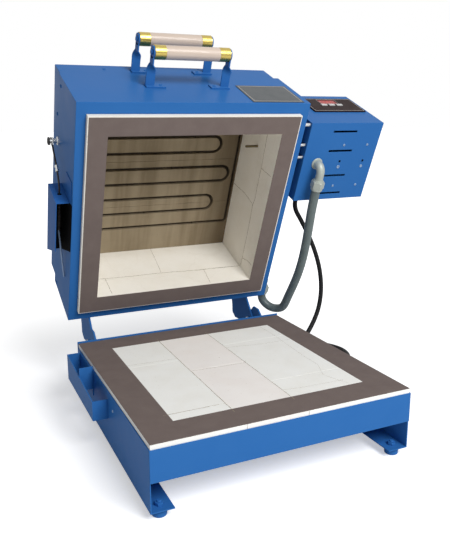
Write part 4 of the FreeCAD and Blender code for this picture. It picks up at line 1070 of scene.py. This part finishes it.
def makeGland(plan):
    axis, back, ribs = plan["axis"], (0, 1, 0), plan["ribs"]
    build = bmesh.new()
    hexNut(build, axis, back, *plan["nut"])
    turned(build, plan["dome"], axis, back, onLid)
    dress(build, "glandPiece", "lid", "black_plastic", node="cord_gland", bevel=0.3, smooth=32)

    start, length, radius, taper = plan["relief"]
    outline = [(12, 0), (12, radius)]
    for i in range(ribs * 4 + 1):
        share = i / (ribs * 4)
        wave = 0.5 - 0.5 * cos(tau * share * ribs)
        depth = plan["ribDepth"] * wave * (1 - share * 0.5)
        outline.append((start + length * share, radius - taper * share - depth))
    build = bmesh.new()
    turned(build, outline + [(42, 6.6), (42, 0)], axis, back, onLid, 32)
    dress(build, "reliefPiece", "lid", "black_plastic", node="strain_relief")


makeGland(glandPlan)
print("gland made")


# Mains plug beside the coil

plugPlan = {
    "axis": (375, 18),
    # X, half width, half height and the middle's height
    "sections": [
        (250, 6, 6, 18), (222, 7, 7, 18), (220, 11, 10, 17), (214, 14, 12, 16),
        (202, 15, 12, 15.4), (194, 17.4, 14, 15), (176, 17.8, 14.6, 15), (174, 16.6, 13.6, 15),
    ],
    "ribs": 5,
    "blades": [(-9, 9.0, 16.5), (9, 9.0, 16.5)],
    "bladeSpan": (156, 175),
    "pin": 22.5,
    "pinOutline": [(156, 0), (156, 1.44), (157.5, 2.4), (175, 2.4), (175, 0)],
}


def makePlug(plan):
    build = bmesh.new()
    rings = []
    y, middle = plan["axis"]
    for x, half, tall, rise in plan["sections"]:
        ring = []
        for angle in turnsOf(40):
            power = 0.55 if half > 12 else 1.0
            c, s = cos(angle), sin(angle)
            dy = half * copysign(abs(c) ** power, c)
            dz = tall * copysign(abs(s) ** power, s)
            ring.append(onBase @ Vector((x, y + dy, rise + dz)))
        rings.append(ring)
    addRings(build, rings)
    for i in range(plan["ribs"]):
        rib = [(-1.2, 0), (-1.2, 6.9 + 0.2 * i), (1.2, 6.9 + 0.2 * i), (1.2, 0)]
        turned(build, rib, (247 - 5 * i, y, middle), (1, 0, 0), onBase, 24)
    plug = dress(build, "plugPiece", "base", "black_plastic", node="plug", bevel=0.6, smooth=40)

    build = bmesh.new()
    start, end = plan["bladeSpan"]
    for offset, low, high in plan["blades"]:
        addBox(build, (start, y + offset - 0.8, low), (end, y + offset + 0.8, high), onBase)
    turned(build, plan["pinOutline"], (0, y, plan["pin"]), (1, 0, 0), onBase, 24)
    blades = dress(build, "plugBlades", "base", "bright_steel", bevel=0.25)
    return [plug, blades]


makePlug(plugPlan)
print("plug made")


# Levelling feet

# The pad and the stud as (rise, radius), the nut as (rise, corner limit, radius)
footPlan = {
    "spots": [(-235, -232), (-235, 232), (235, -232), (235, 232)],
    "pad": [(0, 11.6), (0.9, 12.7), (2.4, 13), (8.5, 13), (10.6, 12.2), (12, 9.4), (12, 7.8), (15, 7.8)],
    "stud": [(14, 0), (14, 4), (24.5, 4), (25.4, 3.2), (25.4, 0)],
    "nut": [(17, 0.9, 7.8), (17.8, 1.0, 7.8), (21.8, 1.0, 7.8), (22.8, 0.88, 7.8)],
}


def makeFeet(plan):
    build = bmesh.new()
    up = Vector((0, 0, 1))
    for x, y in plan["spots"]:
        turned(build, [(0, 0)] + plan["pad"] + [(15, 0)], (x, y, 0), up, onBase, 48)
        turned(build, plan["stud"], (x, y, 0), up, onBase, 24)
        hexRings(build, (x, y, 0), up, Vector((1, 0, 0)), plan["nut"], onBase)
    dress(build, "feetPiece", "base", "blue_steel", node="levelling_feet", smooth=32)


makeFeet(footPlan)
print("feet made")


# Thin light outlines, display digits and the bare plate's border

trimPlan = {
    "face": {"x": (324.5, 464.5), "z": (69, 143), "y": -487, "width": 1.1, "proud": 0.15},
    "label": {"x": (123, 241), "z": (9, 99), "y": -532.2, "width": 1.3, "proud": 0.15},
    "display": {"x": (365.2, 416.4), "z": (111.6, 138.8), "y": -487, "width": 0.9, "proud": 0.12},
}


def addOutline(build, plan):
    (x0, x1), (z0, z1), w = plan["x"], plan["z"], plan["width"]
    near, far = plan["y"] - plan["proud"], plan["y"] + 0.3
    for low, high in (
        ((x0, z0), (x1, z0 + w)),
        ((x0, z1 - w), (x1, z1)),
        ((x0, z0 + w), (x0 + w, z1 - w)),
        ((x1 - w, z0 + w), (x1, z1 - w)),
    ):
        addBox(build, (low[0], near, low[1]), (high[0], far, high[1]), onLid)


def makeTrim(plan):
    build = bmesh.new()
    for part in plan.values():
        addOutline(build, part)
    dress(build, "faceTrim", "lid", "trim_light", bevel=0.05)


digitPlan = {
    "count": 4,
    "y": -486.2,
    "left": 372.0,
    "low": 117.6,
    "width": 7.4,
    "height": 14.6,
    "pitch": 9.6,
    "stroke": 1.4,
}


def makeDigits(plan):
    # Noughts of six bars each, clockwise from the top.
    build = bmesh.new()
    w, h, s = plan["width"], plan["height"], plan["stroke"]
    bars = (
        ((s, h - s), (w - s, h)),
        ((w - s, h / 2 + s / 2), (w, h - s)),
        ((w - s, s), (w, h / 2 - s / 2)),
        ((s, 0), (w - s, s)),
        ((0, s), (s, h / 2 - s / 2)),
        ((0, h / 2 + s / 2), (s, h - s)),
    )
    near, far, low = plan["y"] - 0.12, plan["y"] + 0.2, plan["low"]
    for i in range(plan["count"]):
        x = plan["left"] + plan["pitch"] * i
        for (x0, z0), (x1, z1) in bars:
            addBox(build, (x + x0, near, low + z0), (x + x1, far, low + z1), onLid)
    dress(build, "displayDigits", "lid", "digit_red", bevel=0.05)


makeTrim(trimPlan)
makeDigits(digitPlan)
print("face trimmed")


# Anchor stud with its black cap, chrome collar and the hook wire down to the spring

anchorPlan = {
    "spot": (0, -385, 148),
    "cap": [(-284, 0), (-284, 6.6), (-283.2, 8.2), (-281.8, 9), (-280, 9), (-279.4, 7.6), (-279.4, 0)],
    "stud": [(-280, 0), (-280, 5), (-262, 5), (-262, 0)],
    "collar": [(-264, 0), (-264, 5), (-264, 8.4), (-263, 9.4), (-259.4, 9.4), (-259.4, 0)],
    "wireX": -274.5,
    "wire": 2.0,
    "ring": 7.6,
    "ringStart": -48,
    "slant": (0, 0.67, -0.74),
    "slantSteps": (17, 8.4),
    "hook": [(-290.5, 58.05), (-316.2, 58.05), (-342.3, 79.9)],
    "barrelTop": (-352, 97),
    "barrelAxis": (0, 0.49, -0.87),
    "barrel": [(0, 0), (0, 3), (1, 4), (5, 4), (6, 2.9), (10, 2.9), (11, 4), (15, 4), (16, 3), (16, 0)],
}


def makeAnchor(plan):
    origin = plan["spot"]
    build = bmesh.new()
    turned(build, plan["cap"], origin, (1, 0, 0), onLid, 36)
    dress(build, "anchorCap", "lid", "black_plastic")
    build = bmesh.new()
    for part in ("stud", "collar"):
        turned(build, plan[part], origin, (1, 0, 0), onLid, 36)
    dress(build, "anchorStud", "lid", "bright_steel", node="anchor_stud")

    x, reach = plan["wireX"], plan["ring"]
    stud = Vector((x, *origin[1:]))
    ring = []
    for i in range(25):
        angle = radians(plan["ringStart"]) + tau * i / 24
        sway = 1.6 * sin(angle * 2)
        ring.append(stud + Vector((sway, reach * cos(angle), reach * sin(angle))))
    build = bmesh.new()
    tubeAlong(build, [onLid @ p for p in ring], plan["wire"] / 1000, 12)
    turned(build, plan["barrel"], (x, *plan["barrelTop"]), plan["barrelAxis"], onLid, 24)
    dress(build, "hookEye", "lid", "bright_steel")

    points = [Vector((x, *spot)) for spot in plan["hook"]]
    points += [stud + Vector(plan["slant"]) * step for step in plan["slantSteps"]]
    build = bmesh.new()
    path = splinePoints([onLid @ p for p in points], 12)
    tubeAlong(build, path, plan["wire"] / 1000, 12)
    dress(build, "hookWire", "lid", "spring_dark", node="spring_hook")


makeAnchor(anchorPlan)


# Black sheets behind the spring: painted shade, standing in for the deep shade inside the guard

guardShadePlan = {
    "wall": (-259.7, -260.3),
    "inner": (-287.9, -287.2),
    "wallOutline": [(-303.5, 2), (-190, 2), (-178, 25), (-134, 104.8), (-302.4, 104.8)],
    "innerOutline": [(-302.4, 18.5), (-184.6, 18.5), (-135.4, 104.8), (-302.4, 104.8)],
    "boxes": [
        ((-287.9, -302.4, 104.4), (-259.7, -134, 105.2)),
        ((-287.9, -302.3, 18.5), (-283, -301.7, 104.8)),
        ((-266, -302.3, 18.5), (-259.7, -301.7, 104.8)),
    ],
}


def makeGuardShade(plan):
    build = bmesh.new()
    for part in ("wall", "inner"):
        rings = []
        for x in plan[part]:
            rings.append([onLid @ Vector((x, y, z)) for y, z in plan[part + "Outline"]])
        addRings(build, rings)
    for low, high in plan["boxes"]:
        addBox(build, low, high, onLid)
    # The sheets are painted shade
    dress(build, "guardShadeSheets", "lid", "matte_black")


makeGuardShade(guardShadePlan)
print("anchor and lining made")


# Thermocouple: a sheath with a rounded tip. It sits in a ceramic collar, which is not made here.

probePlan = {"origin": (0, -391, 85.5), "tip": 164.5, "end": 238.6, "radius": 3}


def makeProbe(plan):
    build = bmesh.new()
    tip, end, r = plan["tip"], plan["end"], plan["radius"]
    outline = [(tip, 0), (tip + 0.3, r * 0.5), (tip + 1.2, r * 0.87), (tip + 2.6, r), (end, r), (end, 0)]
    turned(build, outline, plan["origin"], (1, 0, 0), onLid, 28)
    dress(build, "probePiece", "lid", "probe_sheath", node="thermocouple")


makeProbe(probePlan)
print("probe made")


# Stage and light

lightPlan = {
    "world": 0.27,
    "key": 79,
    "keyPlace": (0.49, -2.2, 2.2),
    "keySize": 1.4,
    "near": 0.45,
    "reach": (0.4, 1.4),
    "shine": 0.9,
    "floorShine": 0.1,
    "floorReach": 30,
}


def seenLevel(tree, shine):
    # The light path, and one for camera rays, shine for glossy rays and nought for the rest.
    path = tree.nodes.new("ShaderNodeLightPath").outputs
    values = {0: path["Is Glossy Ray"], 1: shine, 2: path["Is Camera Ray"]}
    return path, addNode(tree, "Math", 0, values, operation="MULTIPLY_ADD")


def makeFloor(plan):
    mesh = bpy.data.meshes.new("floor")
    reach = plan["floorReach"]
    corners = [(-reach, -reach, 0), (reach, -reach, 0), (reach, reach, 0), (-reach, reach, 0)]
    mesh.from_pydata(corners, [], [(0, 1, 2, 3)])
    floor = placed("floor", mesh)
    finish, shader = newFinish("paleFloor", (0.93, 0.93, 0.93, 1), 0.95, specular=0.0)
    tree = finish.node_tree
    seen = seenLevel(tree, plan["floorShine"])[1]
    where = addNode(tree, "TexCoord", "Object")
    length = addNode(tree, "VectorMath", "Value", {0: where}, operation="LENGTH")
    start, end = plan["reach"]
    span = {"Value": length, "From Min": start, "From Max": end, "To Min": plan["near"], "To Max": 1}
    rise = addNode(tree, "MapRange", "Result", span, interpolation_type="SMOOTHSTEP")
    level = addNode(tree, "Math", 0, {0: seen, 1: rise}, operation="MULTIPLY")
    setInputs(shader, {"Emission Color": (1, 1, 1, 1), "Emission Strength": level})
    mesh.materials.append(finish)


def makeWorld(plan):
    world = bpy.data.worlds.new("studio")
    bpy.context.scene.world = world
    world.use_nodes = True
    tree = world.node_tree
    path, seen = seenLevel(tree, plan["shine"])
    also = addNode(tree, "Math", 0, {0: seen, 1: path["Is Transmission Ray"]}, operation="MAXIMUM")
    level = addNode(tree, "MapRange", "Result", {"Value": also, "To Min": plan["world"], "To Max": 1})
    setInputs(tree.nodes["Background"], {"Color": (1, 1, 1, 1), "Strength": level})


def addLamp(name, place, target, size, power):
    data = bpy.data.lights.new(name, "AREA")
    data.energy = power
    data.size = size
    lamp = placed(name, data)
    along = (Vector(target) - Vector(place)).to_track_quat("-Z", "Y")
    lamp.matrix_world = Matrix.Translation(place) @ along.to_matrix().to_4x4()


makeFloor(lightPlan)
makeWorld(lightPlan)
addLamp("key", lightPlan["keyPlace"], (0, 0.1, 0.3), lightPlan["keySize"], lightPlan["key"])
bpy.context.scene.view_settings.view_transform = "Standard"
print("stage lit")
